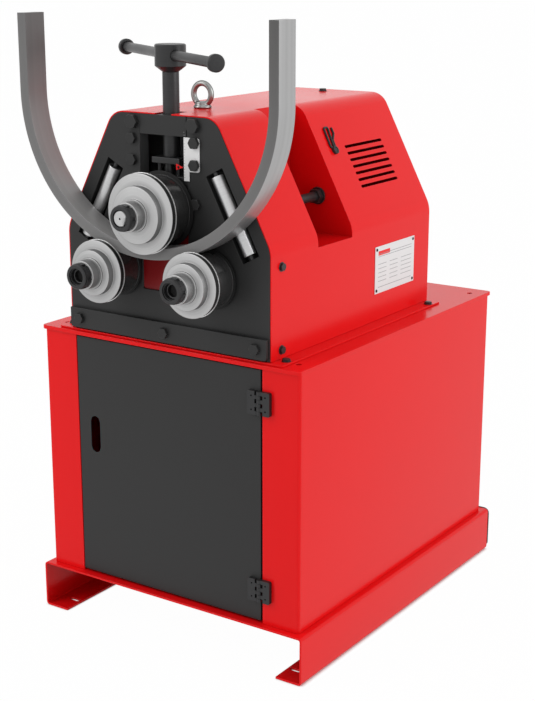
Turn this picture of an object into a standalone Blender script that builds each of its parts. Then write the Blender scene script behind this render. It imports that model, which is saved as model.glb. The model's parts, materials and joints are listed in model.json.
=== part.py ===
"""Section bending machine: three rolls on a plated housing, on a cabinet with a door, on a folded base.

Metres, +Z up. The origin is on the floor under the middle of the machine, and the rolls face -Y.
"""

import math

import bmesh
import bpy
from mathutils import Matrix, Vector

for thing in list(bpy.data.objects):
    bpy.data.objects.remove(thing)

# Clearances
gap = 0.0003
running_gap = 0.0004
overrun = 0.003
weld_share = 0.03

# Folded base
base_width = 0.6250
base_depth = 0.7728
base_height = 0.0948
base_sheet = 0.0040
base_bend = 0.0070
foot_width = 0.0563
foot_slot_inset = 0.0405
foot_slot_setback = 0.0430
foot_slot_length = 0.0240
foot_slot_width = 0.0090
rear_panel_sheet = 0.0030
rear_panel_lip = 0.0010
rear_panel_lift = 0.0080
rear_panel_round = 0.0120

# Cabinet
cabinet_inset = 0.0157
cabinet_setback = 0.0139
cabinet_back_inset = 0.0163
cabinet_height = 0.4907
cabinet_sheet = 0.0030
cabinet_bend = 0.0060
front_strip = 0.0797
top_plate_overhang = 0.0030
top_plate_thickness = 0.0076
top_plate_round = 0.0080
top_plate_hole_radius = 0.0055
top_plate_hole_inset = 0.0300
top_plate_hole_setback = 0.0430

# Door
door_side_gap = 0.0014
door_foot_gap = 0.0050
door_head_gap = 0.0010
door_depth = 0.0160
door_sheet = 0.0025
finger_slot_inset = 0.0396
finger_slot_height = 0.2910
finger_slot_length = 0.0750
finger_slot_width = 0.0230

# Hinges
hinge_height = 0.0440
hinge_width = 0.0480
hinge_leaf = 0.0080
hinge_barrel_radius = 0.0050
hinge_pin_radius = 0.0022
hinge_hole_radius = 0.0017
hinge_hole_inset = 0.0090
hinge_round = 0.0030
hinge_knuckles = 6
hinge_end = 0.0400
hinge_shift = 0.0030

# Housing
flange_half_width = 0.2600
flange_front = 0.0150
flange_back = 0.6030
flange_sheet = 0.0033
flange_round = 0.0060
hood_half_width = 0.2316
hood_height = 0.4206
hood_shoulder = 0.1988
hood_crown_half = 0.1153
hood_crown_round = 0.0400
hood_shoulder_round = 0.0600
hood_sheet = 0.0023
hood_front = 0.0208
hood_back = 0.5982
hood_slot_half = 0.0187
hood_slot_back = 0.0680

# Tool pocket in the right side of the hood, with its stub rod
pocket_side = 0.0900
pocket_front = 0.1730
pocket_back = 0.2920
pocket_floor = 0.1808
pocket_rod_radius = 0.0090
pocket_rod_side = 0.1550
pocket_rod_height = 0.2528
pocket_nut_radius = 0.0145
pocket_nut_width = 0.0150

# Air slots in the right slope of the hood
vent_count = 7
vent_pitch = 0.0138
vent_length = 0.1405
vent_width = 0.0056
vent_front = 0.3795
vent_first = 0.0960

# Front plate and its window
plate_front = 0.0200
plate_thickness = 0.0250
window_half = 0.0530
window_foot = 0.0978
window_round = 0.0040
window_head = 0.3828
block_ear = 0.0300
block_ear_half = 0.0900
block_bolt_side = 0.0685
block_bolt_drop = 0.0145
block_bolt_radius = 0.0080
block_bolt_head_radius = 0.0138
block_bolt_head_width = 0.0100
strip_inset = 0.0050
strip_foot = 0.0028
strip_height = 0.0385
strip_thickness = 0.0080
strip_round = 0.0060
guard_thickness = 0.0030
guard_stand = 0.0025
guard_clearance = 0.0024

# Rear bearing plate
rear_plate_front = 0.1285
rear_plate_thickness = 0.0200

# Bent flat bar
bar_width = 0.0500
bar_thickness = 0.0200
bar_inner_radius = 0.2654
bar_leg_length = 0.1370
bar_steps = 40
bar_stand = 0.0075

# Rolls
lower_roll_side = 0.1058
lower_roll_rise = 0.1349
upper_roll_rise = 0.1159
upper_contact_radius = 0.0625
upper_rim_rise = 0.0075
lower_rim_rise = 0.0049
rim_width = 0.0020
rim_chamfer = 0.0012
boss_radius = 0.0290
upper_face_rise = 0.0100
lower_face_rise = 0.0083
upper_step_radius = 0.0512
lower_step_radius = 0.0419
ring_proud = 0.0005
groove_depth = 0.0040
ring_width = 0.0017
groove_width = 0.0065
face_width = 0.0040
step_width = 0.0140
collar_root_radius = 0.0289
collar_root_width = 0.0040
collar_radius = 0.0265
collar_width = 0.0240
nut_width = 0.0165
nut_back_radius = 0.0240
nut_front_radius = 0.0226
nut_front_width = 0.0060
nut_mouth_radius = 0.0160
nut_mouth_depth = 0.0035
nut_notches = 6
nut_notch_width = 0.0060
nut_notch_depth = 0.0030
shaft_radius = 0.0200
shaft_thread_radius = 0.0140
shaft_chamfer = 0.0020
lower_thread_recess = 0.0110

# Bearings and gear train
bearing_radius = 0.0340
bearing_inset = 0.0010
upper_bush_radius = 0.0280
upper_bush_inset = 0.0080
gear_teeth = 30
pinion_teeth = 14
gear_reach_share = 1.04
gear_front = 0.0800
gear_width = 0.0300
tooth_add_share = 0.85
tooth_root_share = 1.20
tooth_root_half_share = 1.30
tooth_tip_half_share = 0.42
pinion_shaft_radius = 0.0150
pinion_shaft_seat = 0.0360

# Gearbox, motor and fan
gearbox_half = 0.0800
gearbox_length = 0.1400
gearbox_height = 0.1600
gearbox_bevel = 0.0060
motor_flange_radius = 0.0780
motor_flange_width = 0.0120
motor_radius = 0.0700
motor_length = 0.2000
motor_shaft_radius = 0.0080
motor_shaft_length = 0.0340
fan_radius = 0.0550
fan_hub_radius = 0.0180
fan_width = 0.0200
fan_stand = 0.0080
fan_blades = 7
fan_blade_half_share = 0.30
fan_root_half_share = 0.72

# Carriage that the screw presses down
carriage_front = 0.0220
carriage_back = 0.1200
carriage_foot_drop = 0.0356
carriage_head_rise = 0.0596
crosshead_half = 0.0310
crosshead_front = 0.0255
crosshead_back = 0.0660
crosshead_foot_rise = 0.0807
crosshead_thickness = 0.0109
column_radius = 0.0080
column_setback = 0.0370
stud_radius = 0.0040
stud_side = 0.0210

# Scale and pointer
scale_sheet = 0.0015
scale_left = 0.0470
scale_right = 0.0816
scale_strip_right = 0.0590
scale_head_drop = 0.0005
scale_tab_height = 0.0601
scale_strip_height = 0.0770
scale_round = 0.0050
pointer_sheet = 0.0015
pointer_tip = 0.0416
pointer_tail = 0.0252
pointer_half_height = 0.0057
pointer_drop = 0.0035
pointer_lug_thickness = 0.0060

# Screw and T handle
screw_setback = 0.0453
screw_radius = 0.0150
screw_stub_radius = 0.0100
screw_stub_length = 0.0170
hub_radius = 0.0280
hub_rise = 0.0718
hub_shoulder = 0.0100
hub_height = 0.0480
hub_chamfer = 0.0020
rod_rise = 0.0290
rod_radius = 0.0090
rod_angle = -33.0
rod_long_reach = 0.2640
rod_short_reach = 0.2310
knob_radius = 0.0150
knob_width = 0.0130
knob_round = 0.0030
knob_bore_depth = 0.0080

# Lifting eye
eye_outer_radius = 0.0250
eye_wire_radius = 0.0053
eye_base_radius = 0.0160
eye_base_height = 0.0035
eye_neck_radius = 0.0125
eye_neck_height = 0.0098
eye_shank_radius = 0.0060
eye_shank_length = 0.0250

# Guide rollers in their slanted slots
guide_drop = 0.16575
guide_inset = 0.04739
guide_tilt = 28.0
guide_slot_width = 0.0387
guide_slot_length = 0.1665
guide_slot_depth = 0.0205
guide_roller_radius = 0.0127
guide_roller_end_gap = 0.0085
guide_pin_radius = 0.0050
guide_pin_seat = 0.0100

# Plate on the right side and tool clip on the right slope
label_front = 0.3784
label_back = 0.5340
label_foot = 0.0538
label_height = 0.0930
label_sheet = 0.0010
clip_boss_radius = 0.0065
clip_boss_height = 0.0070
clip_setback = 0.3400
clip_along = 0.0970
clip_prong_length = 0.0420
clip_short_share = 0.86
clip_prong_width = 0.0065
clip_prong_height = 0.0040
clip_left_lean = 10.0
clip_right_lean = -21.0

# Worked-out places
round_steps = 24
small_steps = 16
pin_steps = 12
fillet_steps = 8
stack_length = bar_stand + bar_width + gap + ring_width + groove_width + face_width
stack_length = stack_length + step_width + collar_width + gap + nut_width
front_reach = stack_length - plate_front
front_y = -(base_depth - front_reach) / 2
base_half = base_width / 2
cabinet_half = base_half - cabinet_inset
cabinet_foot_z = base_height + gap
cabinet_head_z = cabinet_foot_z + cabinet_height
top_plate_foot_z = cabinet_head_z + gap
top_plate_head_z = top_plate_foot_z + top_plate_thickness
flange_foot_z = top_plate_head_z + gap
housing_z = flange_foot_z + flange_sheet + gap
hood_top_z = housing_z + hood_height
lower_roll_height = housing_z + lower_roll_rise
upper_roll_height = lower_roll_height + upper_roll_rise
hub_foot = hood_top_z + hub_rise
plate_back = plate_front + plate_thickness
strip_half = hood_half_width - strip_inset


def at(setback):
    """World Y of a place this far behind the base's front edge."""
    return front_y + setback


materials = {}


def material(name, colour, metallic=0.0, roughness=0.5):
    if name not in materials:
        made = bpy.data.materials.new(name)
        made.use_nodes = True
        shader = made.node_tree.nodes["Principled BSDF"]
        shader.inputs["Base Color"].default_value = (*colour, 1)
        shader.inputs["Metallic"].default_value = metallic
        shader.inputs["Roughness"].default_value = roughness
        materials[name] = made
    return materials[name]


red_paint = material("red_paint", (0.80, 0.035, 0.038), 0.0, 0.42)
black_paint = material("black_paint", (0.035, 0.035, 0.036), 0.0, 0.45)
turned_steel = material("turned_steel", (0.62, 0.62, 0.63), 1.0, 0.34)
dark_steel = material("dark_steel", (0.05, 0.05, 0.052), 0.6, 0.40)
bar_steel = material("bar_steel", (0.42, 0.42, 0.43), 1.0, 0.38)
bright_chrome = material("bright_chrome", (0.90, 0.90, 0.91), 1.0, 0.12)
cast_iron = material("cast_iron", (0.22, 0.23, 0.24), 0.4, 0.60)
blank_plate = material("blank_plate", (0.86, 0.87, 0.88), 0.3, 0.40)


def join_scene(name, mesh, surface, origin=(0, 0, 0), parent=None):
    """An object on this mesh, whose points are in world space, or in the parent's space if there is one."""
    place = Vector(origin)
    mesh.transform(Matrix.Translation(-place))
    mesh.materials.append(surface)
    piece = bpy.data.objects.new(name, mesh)
    bpy.context.scene.collection.objects.link(piece)
    piece.location = place
    piece.parent = parent
    return piece


def axis_empty(name, location, rotation=(0, 0, 0)):
    empty = bpy.data.objects.new(name, None)
    bpy.context.scene.collection.objects.link(empty)
    empty.location = location
    empty.rotation_euler = rotation
    empty.empty_display_size = shaft_radius
    return empty


def finish(bm, name, smooth):
    bmesh.ops.recalc_face_normals(bm, faces=bm.faces)
    mesh = bpy.data.meshes.new(name)
    bm.to_mesh(mesh)
    bm.free()
    if smooth:
        mesh.shade_smooth()
        mesh.set_sharp_from_angle(angle=math.radians(35))
    return mesh


def prism_mesh(name, outline, low, high, axis="Y", smooth=False):
    """The outline, closed and without holes, run along an axis from low to high."""
    bm = bmesh.new()
    corners = []
    for a, b in outline:
        spot = {"X": (low, a, b), "Y": (a, low, b), "Z": (a, b, low)}[axis]
        corners.append(bm.verts.new(spot))
    face = bm.faces.new(corners)
    run = {"X": (high - low, 0, 0), "Y": (0, high - low, 0), "Z": (0, 0, high - low)}[axis]
    grown = bmesh.ops.extrude_face_region(bm, geom=[face])
    moved = [item for item in grown["geom"] if isinstance(item, bmesh.types.BMVert)]
    bmesh.ops.translate(bm, verts=moved, vec=run)
    return finish(bm, name, smooth)


def prism(name, outline, low, high, surface, axis="Y", origin=(0, 0, 0), parent=None, smooth=False):
    return join_scene(name, prism_mesh(name, outline, low, high, axis, smooth), surface, origin, parent)


def box(name, x, y, z, surface, origin=(0, 0, 0), parent=None):
    outline = [(x[0], y[0]), (x[1], y[0]), (x[1], y[1]), (x[0], y[1])]
    return prism(name, outline, z[0], z[1], surface, "Z", origin, parent)


def turned(name, profile, surface, parent=None, steps=round_steps, centre=(0, 0)):
    """The closed profile of (radius, height) points turned round a line parallel to Z."""
    bm = bmesh.new()
    points = [bm.verts.new((radius, 0, height)) for radius, height in profile]
    edges = [bm.edges.new((points[i - 1], points[i])) for i in range(1, len(points))]
    if profile[0][0] > 0:
        edges.append(bm.edges.new((points[-1], points[0])))
    bmesh.ops.spin(bm, geom=edges, cent=(0, 0, 0), axis=(0, 0, 1), angle=math.tau, steps=steps, use_merge=True)
    bmesh.ops.remove_doubles(bm, verts=bm.verts, dist=gap * weld_share)
    bmesh.ops.translate(bm, verts=bm.verts, vec=(centre[0], centre[1], 0))
    return join_scene(name, finish(bm, name, True), surface, (centre[0], centre[1], 0), parent)


def rod(name, radius, low, high, surface, parent=None, steps=small_steps, centre=(0, 0)):
    """A plain cylinder along Z."""
    return turned(name, [(0, high), (radius, high), (radius, low), (0, low)], surface, parent, steps, centre)


def turn(piece, rotation, location):
    piece.rotation_euler = rotation
    piece.location = location
    return piece


def change(target, tool, operation="DIFFERENCE"):
    """Cuts the tool from the target, adds it, or keeps what they share."""
    step = target.modifiers.new(tool.name, "BOOLEAN")
    step.operation = operation
    step.solver = "EXACT"
    step.object = tool
    tool.hide_render = True
    tool.display_type = "WIRE"
    return target


def rounded(points, radius, steps=4):
    """The closed outline with its corners rounded: one radius, or one for each corner."""
    made = []
    count = len(points)
    for i, point in enumerate(points):
        bend = radius[i] if isinstance(radius, (list, tuple)) else radius
        here = Vector(point)
        before = Vector(points[i - 1]) - here
        after = Vector(points[(i + 1) % count]) - here
        if bend <= 0:
            made.append((here.x, here.y))
            continue
        half_angle = before.angle(after) / 2
        reach = bend / math.tan(half_angle)
        longest = min(before.length, after.length) * 0.48
        if reach > longest:
            reach = longest
            bend = reach * math.tan(half_angle)
        middle = here + (before.normalized() + after.normalized()).normalized() * (bend / math.sin(half_angle))
        start = here + before.normalized() * reach - middle
        end = here + after.normalized() * reach - middle
        sweep = start.angle_signed(end)
        for k in range(steps + 1):
            turned_by = Matrix.Rotation(-sweep * k / steps, 2)
            spot = middle + turned_by @ start
            made.append((spot.x, spot.y))
    return made


def folded(path, sheet, bend, steps=3):
    """The outline of a sheet bent along this open path, all bends to the right; the path is its outer face."""
    outer = []
    inner = []
    spots = [Vector(point) for point in path]
    for i, here in enumerate(spots):
        if i in (0, len(spots) - 1):
            ahead = spots[1] - spots[0] if i == 0 else spots[-1] - spots[-2]
            side = Vector((ahead.y, -ahead.x)).normalized()
            outer.append(here)
            inner.append(here + side * sheet)
            continue
        before = (spots[i - 1] - here).normalized()
        after = (spots[i + 1] - here).normalized()
        half_angle = before.angle(after) / 2
        middle = here + (before + after).normalized() * (bend / math.sin(half_angle))
        start = here + before * (bend / math.tan(half_angle)) - middle
        end = here + after * (bend / math.tan(half_angle)) - middle
        sweep = start.angle_signed(end)
        for k in range(steps + 1):
            spoke = Matrix.Rotation(-sweep * k / steps, 2) @ start
            outer.append(middle + spoke)
            inner.append(middle + spoke * ((bend - sheet) / bend))
    return [(p.x, p.y) for p in outer + inner[::-1]]


def stadium(centre, length, width, steps=4):
    """A slot with round ends, long along its first coordinate."""
    radius = width / 2
    reach = length / 2 - radius
    made = []
    for k in range(steps + 1):
        angle = -math.pi / 2 + math.pi * k / steps
        made.append((centre[0] + reach + radius * math.cos(angle), centre[1] + radius * math.sin(angle)))
    for k in range(steps + 1):
        angle = math.pi / 2 + math.pi * k / steps
        made.append((centre[0] - reach + radius * math.cos(angle), centre[1] + radius * math.sin(angle)))
    return made


def circle(centre, radius, count, start=0.0):
    made = []
    for k in range(count):
        angle = start + math.tau * k / count
        made.append((centre[0] + radius * math.cos(angle), centre[1] + radius * math.sin(angle)))
    return made


def several(name, shapes):
    """One cutter made of meshes that don't touch."""
    bm = bmesh.new()
    for shape in shapes:
        bm.from_mesh(shape)
    return join_scene(name, finish(bm, name, False), black_paint)


# Folded base: a top sheet, two side walls and two foot flanges turned inward
tray_half = base_half - rear_panel_lip
tray_path = [
    (-tray_half + foot_width, 0),
    (-tray_half, 0),
    (-tray_half, base_height),
    (tray_half, base_height),
    (tray_half, 0),
    (tray_half - foot_width, 0),
]
tray_back = at(base_depth) - rear_panel_sheet - gap
base_tray = prism(
    "base_tray", folded(tray_path, base_sheet, base_bend), at(0), tray_back, red_paint, origin=(0, at(0), 0)
)
foot_slots = []
for side in (-1, 1):
    for y in (at(foot_slot_setback), tray_back - foot_slot_setback):
        slot = stadium((side * (base_half - foot_slot_inset), y), foot_slot_length, foot_slot_width)
        foot_slots.append(prism_mesh("foot_slot", slot, -overrun, base_sheet + overrun, "Z"))
change(base_tray, several("foot_slot_cutter", foot_slots))

rear_outline = [
    (-base_half, rear_panel_lift),
    (base_half, rear_panel_lift),
    (base_half, base_height + rear_panel_lip),
    (-base_half, base_height + rear_panel_lip),
]
rear_rounds = [base_bend, base_bend, rear_panel_round, rear_panel_round]
prism(
    "base_rear_panel",
    rounded(rear_outline, rear_rounds),
    at(base_depth) - rear_panel_sheet,
    at(base_depth),
    black_paint,
    origin=(0, at(base_depth), 0),
)

# Cabinet shell: front strips, sides and back in one sheet
cabinet_front = cabinet_setback
cabinet_back = base_depth - cabinet_back_inset
strip_edge = cabinet_half - front_strip
shell_path = [
    (-strip_edge, at(cabinet_front)),
    (-cabinet_half, at(cabinet_front)),
    (-cabinet_half, at(cabinet_back)),
    (cabinet_half, at(cabinet_back)),
    (cabinet_half, at(cabinet_front)),
    (strip_edge, at(cabinet_front)),
]
prism(
    "cabinet_shell",
    folded(shell_path, cabinet_sheet, cabinet_bend),
    cabinet_foot_z,
    cabinet_head_z,
    red_paint,
    "Z",
    origin=(0, at(cabinet_front), cabinet_foot_z),
)

top_half = cabinet_half + top_plate_overhang
top_front = at(cabinet_front - top_plate_overhang * 2)
top_back = at(cabinet_back + top_plate_overhang * 2)
top_outline = [(-top_half, top_front), (top_half, top_front), (top_half, top_back), (-top_half, top_back)]
top_plate = prism(
    "cabinet_top_plate",
    rounded(top_outline, top_plate_round),
    top_plate_foot_z,
    top_plate_head_z,
    red_paint,
    "Z",
    origin=(0, top_front, top_plate_foot_z),
)
top_holes = []
for x in (-top_half + top_plate_hole_inset, top_half - top_plate_hole_inset):
    for y in (top_front + top_plate_hole_setback, top_back - top_plate_hole_setback):
        hole = circle((x, y), top_plate_hole_radius, pin_steps)
        top_holes.append(
            prism_mesh("top_hole", hole, top_plate_foot_z - overrun, top_plate_head_z + overrun, "Z")
        )
change(top_plate, several("top_hole_cutter", top_holes))

# Door: a shallow pan in the front opening, turning about a pin line in front of its right edge
door_half = strip_edge - door_side_gap
door_foot_z = cabinet_foot_z + door_foot_gap
door_head_z = cabinet_head_z - door_head_gap
hinge_x = strip_edge - door_side_gap / 2 - hinge_shift
hinge_y = at(cabinet_front) - gap - hinge_barrel_radius
door_axis = axis_empty("door_axis", (hinge_x, hinge_y, door_foot_z))


door_front = at(cabinet_front) - hinge_y
door = box(
    "door",
    (-door_half - hinge_x, door_half - hinge_x),
    (door_front, door_front + door_depth),
    (0, door_head_z - door_foot_z),
    black_paint,
    parent=door_axis,
)
pan = box(
    "door_pan_cutter",
    (-door_half - hinge_x + door_sheet, door_half - hinge_x - door_sheet),
    (door_front + door_sheet, door_front + door_depth + overrun),
    (door_sheet, door_head_z - door_foot_z - door_sheet),
    black_paint,
    parent=door_axis,
)
change(door, pan)
slot_z = finger_slot_height
slot_x = -door_half + finger_slot_inset - hinge_x
slot_outline = [(x, z) for z, x in stadium((slot_z, slot_x), finger_slot_length, finger_slot_width)]
finger_slot = prism(
    "finger_slot_cutter",
    slot_outline,
    door_front - overrun,
    door_front + door_sheet + overrun,
    black_paint,
    parent=door_axis,
)
change(door, finger_slot)

# Hinges: two leaves of three knuckles each, and a pin
knuckle_height = hinge_height / hinge_knuckles
leaf_back = door_front - gap
leaf_front = leaf_back - hinge_leaf
leaf_edge = hinge_barrel_radius + running_gap
leaf_reach = hinge_width / 2


def hinge_leaf_piece(name, side, foot, parent):
    """A leaf on one side of the pin line; knuckles 0, 2, 4 belong to the left leaf and 1, 3, 5 to the right one."""
    plate = rounded(
        [(side * leaf_edge, 0), (side * leaf_reach, 0), (side * leaf_reach, hinge_height), (side * leaf_edge, hinge_height)],
        [0, hinge_round, hinge_round, 0],
        3,
    )
    leaf = prism(name, [(x, foot + z) for x, z in plate], leaf_front, leaf_back, dark_steel, parent=parent)
    first = 0 if side < 0 else 1
    knuckles = []
    for k in range(first, hinge_knuckles, 2):
        low = foot + knuckle_height * k + running_gap / 2
        high = foot + knuckle_height * (k + 1) - running_gap / 2
        knuckles.append((low, high))
    outline = circle((0, 0), hinge_barrel_radius, 10)
    web = leaf_edge + hinge_leaf / 2
    for number, (low, high) in enumerate(knuckles):
        barrel = prism(name + "_knuckle_" + str(number), outline, low, high, dark_steel, "Z", parent=parent)
        tab = box(
            name + "_tab_" + str(number),
            (min(0, side * web), max(0, side * web)),
            (leaf_front + gap, leaf_back - gap),
            (low + gap / 2, high - gap / 2),
            dark_steel,
            parent=parent,
        )
        change(leaf, barrel, "UNION")
        change(leaf, tab, "UNION")
    bore = rod(
        name + "_bore",
        hinge_pin_radius + gap,
        foot - overrun,
        foot + hinge_height + overrun,
        dark_steel,
        parent,
        8,
    )
    change(leaf, bore)
    holes = []
    for z in (foot + hinge_hole_inset, foot + hinge_height - hinge_hole_inset):
        hole = circle((side * (leaf_reach - hinge_hole_inset), z), hinge_hole_radius, 6)
        holes.append(prism_mesh("hinge_hole", hole, leaf_front - overrun, leaf_back + overrun))
    hole_cutter = several(name + "_holes", holes)
    hole_cutter.parent = parent
    change(leaf, hole_cutter)
    return leaf


frame_axis = axis_empty("hinge_frame", (hinge_x, hinge_y, door_foot_z))
door_height = door_head_z - door_foot_z
hinge_feet = {"lower": hinge_end, "upper": door_height - hinge_end - hinge_height}
for place, foot in hinge_feet.items():
    hinge_leaf_piece(place + "_hinge_door_leaf", -1, foot, door_axis)
    hinge_leaf_piece(place + "_hinge_frame_leaf", 1, foot, frame_axis)
    rod(place + "_hinge_pin", hinge_pin_radius, foot, foot + hinge_height, dark_steel, frame_axis, 8)

# Housing flange on the cabinet
flange_outline = [
    (-flange_half_width, at(flange_front)),
    (flange_half_width, at(flange_front)),
    (flange_half_width, at(flange_back)),
    (-flange_half_width, at(flange_back)),
]
prism(
    "housing_flange",
    rounded(flange_outline, flange_round),
    flange_foot_z,
    flange_foot_z + flange_sheet,
    red_paint,
    "Z",
    origin=(0, at(flange_front), flange_foot_z),
)

# The hood's section: upright sides, slopes and a flat crown
shoulder_z = housing_z + hood_shoulder
slope_run = Vector((hood_crown_half - hood_half_width, hood_top_z - shoulder_z))
slope_normal = Vector((slope_run.y, -slope_run.x)).normalized()
slope_along = slope_run.normalized()
slope_offset = slope_normal.x * hood_half_width + slope_normal.y * shoulder_z


def hood_section(inset, foot):
    """The section this far inside the hood's outer face, from the height foot up."""
    half = hood_half_width - inset
    top = hood_top_z - inset
    offset = slope_offset - inset
    shoulder = (offset - slope_normal.x * half) / slope_normal.y
    crown = (offset - slope_normal.y * top) / slope_normal.x
    points = [(-half, foot), (half, foot), (half, shoulder), (crown, top), (-crown, top), (-half, shoulder)]
    crown_round = hood_crown_round - inset
    shoulder_round = hood_shoulder_round - inset
    return rounded(points, [0, 0, shoulder_round, crown_round, crown_round, shoulder_round], fillet_steps)


# Hood: the outer form, less the inside, which leaves a walled pocket on the right
hood = prism(
    "hood", hood_section(0, housing_z), at(hood_front), at(hood_back), red_paint, origin=(0, at(hood_front), housing_z)
)
inside = prism(
    "hood_inside",
    hood_section(hood_sheet, housing_z - overrun),
    at(hood_front) - overrun,
    at(hood_back) - hood_sheet,
    red_paint,
)
pocket_z = housing_z + pocket_floor
pocket_walls = box(
    "pocket_walls",
    (pocket_side - hood_sheet, hood_half_width + overrun),
    (at(pocket_front) - hood_sheet, at(pocket_back) + hood_sheet),
    (pocket_z - hood_sheet, hood_top_z + overrun),
    red_paint,
)
change(inside, pocket_walls)
change(hood, inside)
pocket_space = box(
    "pocket_space",
    (pocket_side, hood_half_width + overrun * 2),
    (at(pocket_front), at(pocket_back)),
    (pocket_z, hood_top_z + overrun * 2),
    red_paint,
)
change(hood, pocket_space)
screw_slot = box(
    "screw_slot",
    (-hood_slot_half, hood_slot_half),
    (at(hood_front) - overrun, at(hood_slot_back)),
    (hood_top_z - hood_sheet - overrun, hood_top_z + overrun),
    red_paint,
)
change(hood, screw_slot)

slope_tilt = math.atan2(slope_along.x, slope_along.y)
slope_frame = axis_empty("slope_frame", (hood_crown_half, at(0), hood_top_z), (0, slope_tilt, 0))

vents = []
for k in range(vent_count):
    middle = (vent_front + vent_length / 2, -(vent_first + vent_pitch * k))
    slot = stadium(middle, vent_length, vent_width)
    vents.append(prism_mesh("vent", slot, -hood_sheet - overrun, overrun, "X"))
vent_cutter = several("vent_cutter", vents)
vent_cutter.parent = slope_frame
change(hood, vent_cutter)
eye_hole = rod(
    "eye_hole",
    eye_shank_radius + gap,
    hood_top_z - hood_sheet - overrun,
    hood_top_z + overrun,
    red_paint,
    centre=(0, at(rear_plate_front + rear_plate_thickness / 2)),
)
change(hood, eye_hole)

# Rod with a nut across the pocket
stub = turn(
    rod("pocket_rod", pocket_rod_radius, gap, pocket_back - pocket_front - gap, dark_steel),
    (math.radians(90), 0, 0),
    (pocket_rod_side, at(pocket_back), housing_z + pocket_rod_height),
)
stub_nut = prism(
    "pocket_nut",
    circle((0, 0), pocket_nut_radius, 6),
    gap,
    gap + pocket_nut_width,
    dark_steel,
    "Z",
    parent=stub,
)
change(stub, stub_nut, "UNION")

# Front plate: the hood's section, with a window open at the top, two slanted pockets and two shaft holes
plate_inset = hood_sheet + gap
front_plate = prism(
    "front_plate",
    hood_section(plate_inset, housing_z),
    at(plate_front),
    at(plate_back),
    black_paint,
    origin=(0, at(plate_front), housing_z),
)
plate_top_z = hood_top_z - plate_inset


def window_outline(inset, head):
    """The window's opening this far inside its edges, from its foot up to the height head."""
    half = window_half - inset
    foot = housing_z + window_foot + inset
    bend = window_round - inset
    return rounded([(-half, foot), (half, foot), (half, head), (-half, head)], [bend, bend, 0, 0])


window = prism(
    "window_cutter",
    window_outline(0, hood_top_z + overrun),
    at(plate_front) - overrun,
    at(plate_back) + overrun,
    black_paint,
)
change(front_plate, window)

lower_shaft_hole = bearing_radius + gap
for side, word in ((-1, "left"), (1, "right")):
    hole = turn(
        rod(word + "_shaft_hole", lower_shaft_hole, -overrun, plate_thickness + overrun, black_paint, steps=round_steps),
        (math.radians(-90), 0, 0),
        (side * lower_roll_side, at(plate_front), lower_roll_height),
    )
    change(front_plate, hole)
    bolt_hole = turn(
        rod(word + "_bolt_hole", block_bolt_radius + gap, -overrun, plate_thickness + overrun, black_paint, steps=pin_steps),
        (math.radians(-90), 0, 0),
        (side * block_bolt_side, at(plate_front), plate_top_z - block_bolt_drop),
    )
    change(front_plate, bolt_hole)

# Guide rollers and their pins, in pockets that lean toward the crown
guide_spot = Vector((hood_crown_half, hood_top_z)) - slope_along * guide_drop - slope_normal * guide_inset
guide_back = bar_stand - gap - guide_roller_radius
guide_y = at(plate_front) - guide_back
for side, word in ((-1, "left"), (1, "right")):
    lean = (0, -side * math.radians(guide_tilt), 0)
    axis = axis_empty(word + "_guide_axis", (side * guide_spot.x, guide_y, guide_spot.y), lean)
    slot_front = at(plate_front) - overrun - guide_y
    slot = box(
        word + "_guide_slot",
        (-guide_slot_width / 2, guide_slot_width / 2),
        (slot_front, at(plate_front) + guide_slot_depth - guide_y),
        (-guide_slot_length / 2, guide_slot_length / 2),
        black_paint,
        parent=axis,
    )
    change(front_plate, slot)
    seat_reach = guide_slot_length / 2 + guide_pin_seat
    seat = rod(word + "_guide_seat", guide_pin_radius + gap, -seat_reach - gap, seat_reach + gap, black_paint, axis, pin_steps)
    change(front_plate, seat)
    rod(word + "_guide_pin", guide_pin_radius, -seat_reach, seat_reach, dark_steel, axis, pin_steps)
    roller_reach = guide_slot_length / 2 - guide_roller_end_gap
    bore = guide_pin_radius + gap
    turned(
        word + "_guide_roller",
        [(guide_roller_radius, roller_reach), (guide_roller_radius, -roller_reach), (bore, -roller_reach), (bore, roller_reach)],
        bright_chrome,
        axis,
        18,
    )

# Block that closes the window and carries the screw, with ears behind the plate
screw_y = at(screw_setback)
window_head_z = housing_z + window_head
top_block = box(
    "top_block",
    (-window_half + gap, window_half - gap),
    (at(plate_front), at(plate_back) + gap + block_ear),
    (window_head_z, plate_top_z),
    black_paint,
    origin=(0, screw_y, window_head_z),
)
ears = box(
    "block_ears",
    (-block_ear_half, block_ear_half),
    (at(plate_back) + gap, at(plate_back) + gap + block_ear - gap),
    (window_head_z + gap, plate_top_z - gap),
    black_paint,
)
change(top_block, ears, "UNION")
nut_bore = rod(
    "nut_bore",
    screw_radius + gap,
    window_head_z - overrun,
    plate_top_z + overrun,
    black_paint,
    steps=18,
    centre=(0, screw_y),
)
change(top_block, nut_bore)
for side, word in ((-1, "left"), (1, "right")):
    bolt_z = plate_top_z - block_bolt_drop
    shank_length = plate_thickness + gap + block_ear / 2
    ear_hole = turn(
        rod(word + "_ear_hole", block_bolt_radius + gap, 0, block_ear / 2 + overrun, black_paint, steps=pin_steps),
        (math.radians(-90), 0, 0),
        (side * block_bolt_side, at(plate_back), bolt_z),
    )
    change(top_block, ear_hole)
    bolt = turn(
        rod(word + "_block_bolt", block_bolt_radius, -gap - block_bolt_head_width / 2, shank_length, dark_steel, steps=pin_steps),
        (math.radians(-90), 0, 0),
        (side * block_bolt_side, at(plate_front), bolt_z),
    )
    head = prism(
        word + "_bolt_head",
        circle((0, 0), block_bolt_head_radius, 6),
        -gap - block_bolt_head_width,
        -gap,
        dark_steel,
        "Z",
        parent=bolt,
    )
    change(bolt, head, "UNION")

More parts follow.
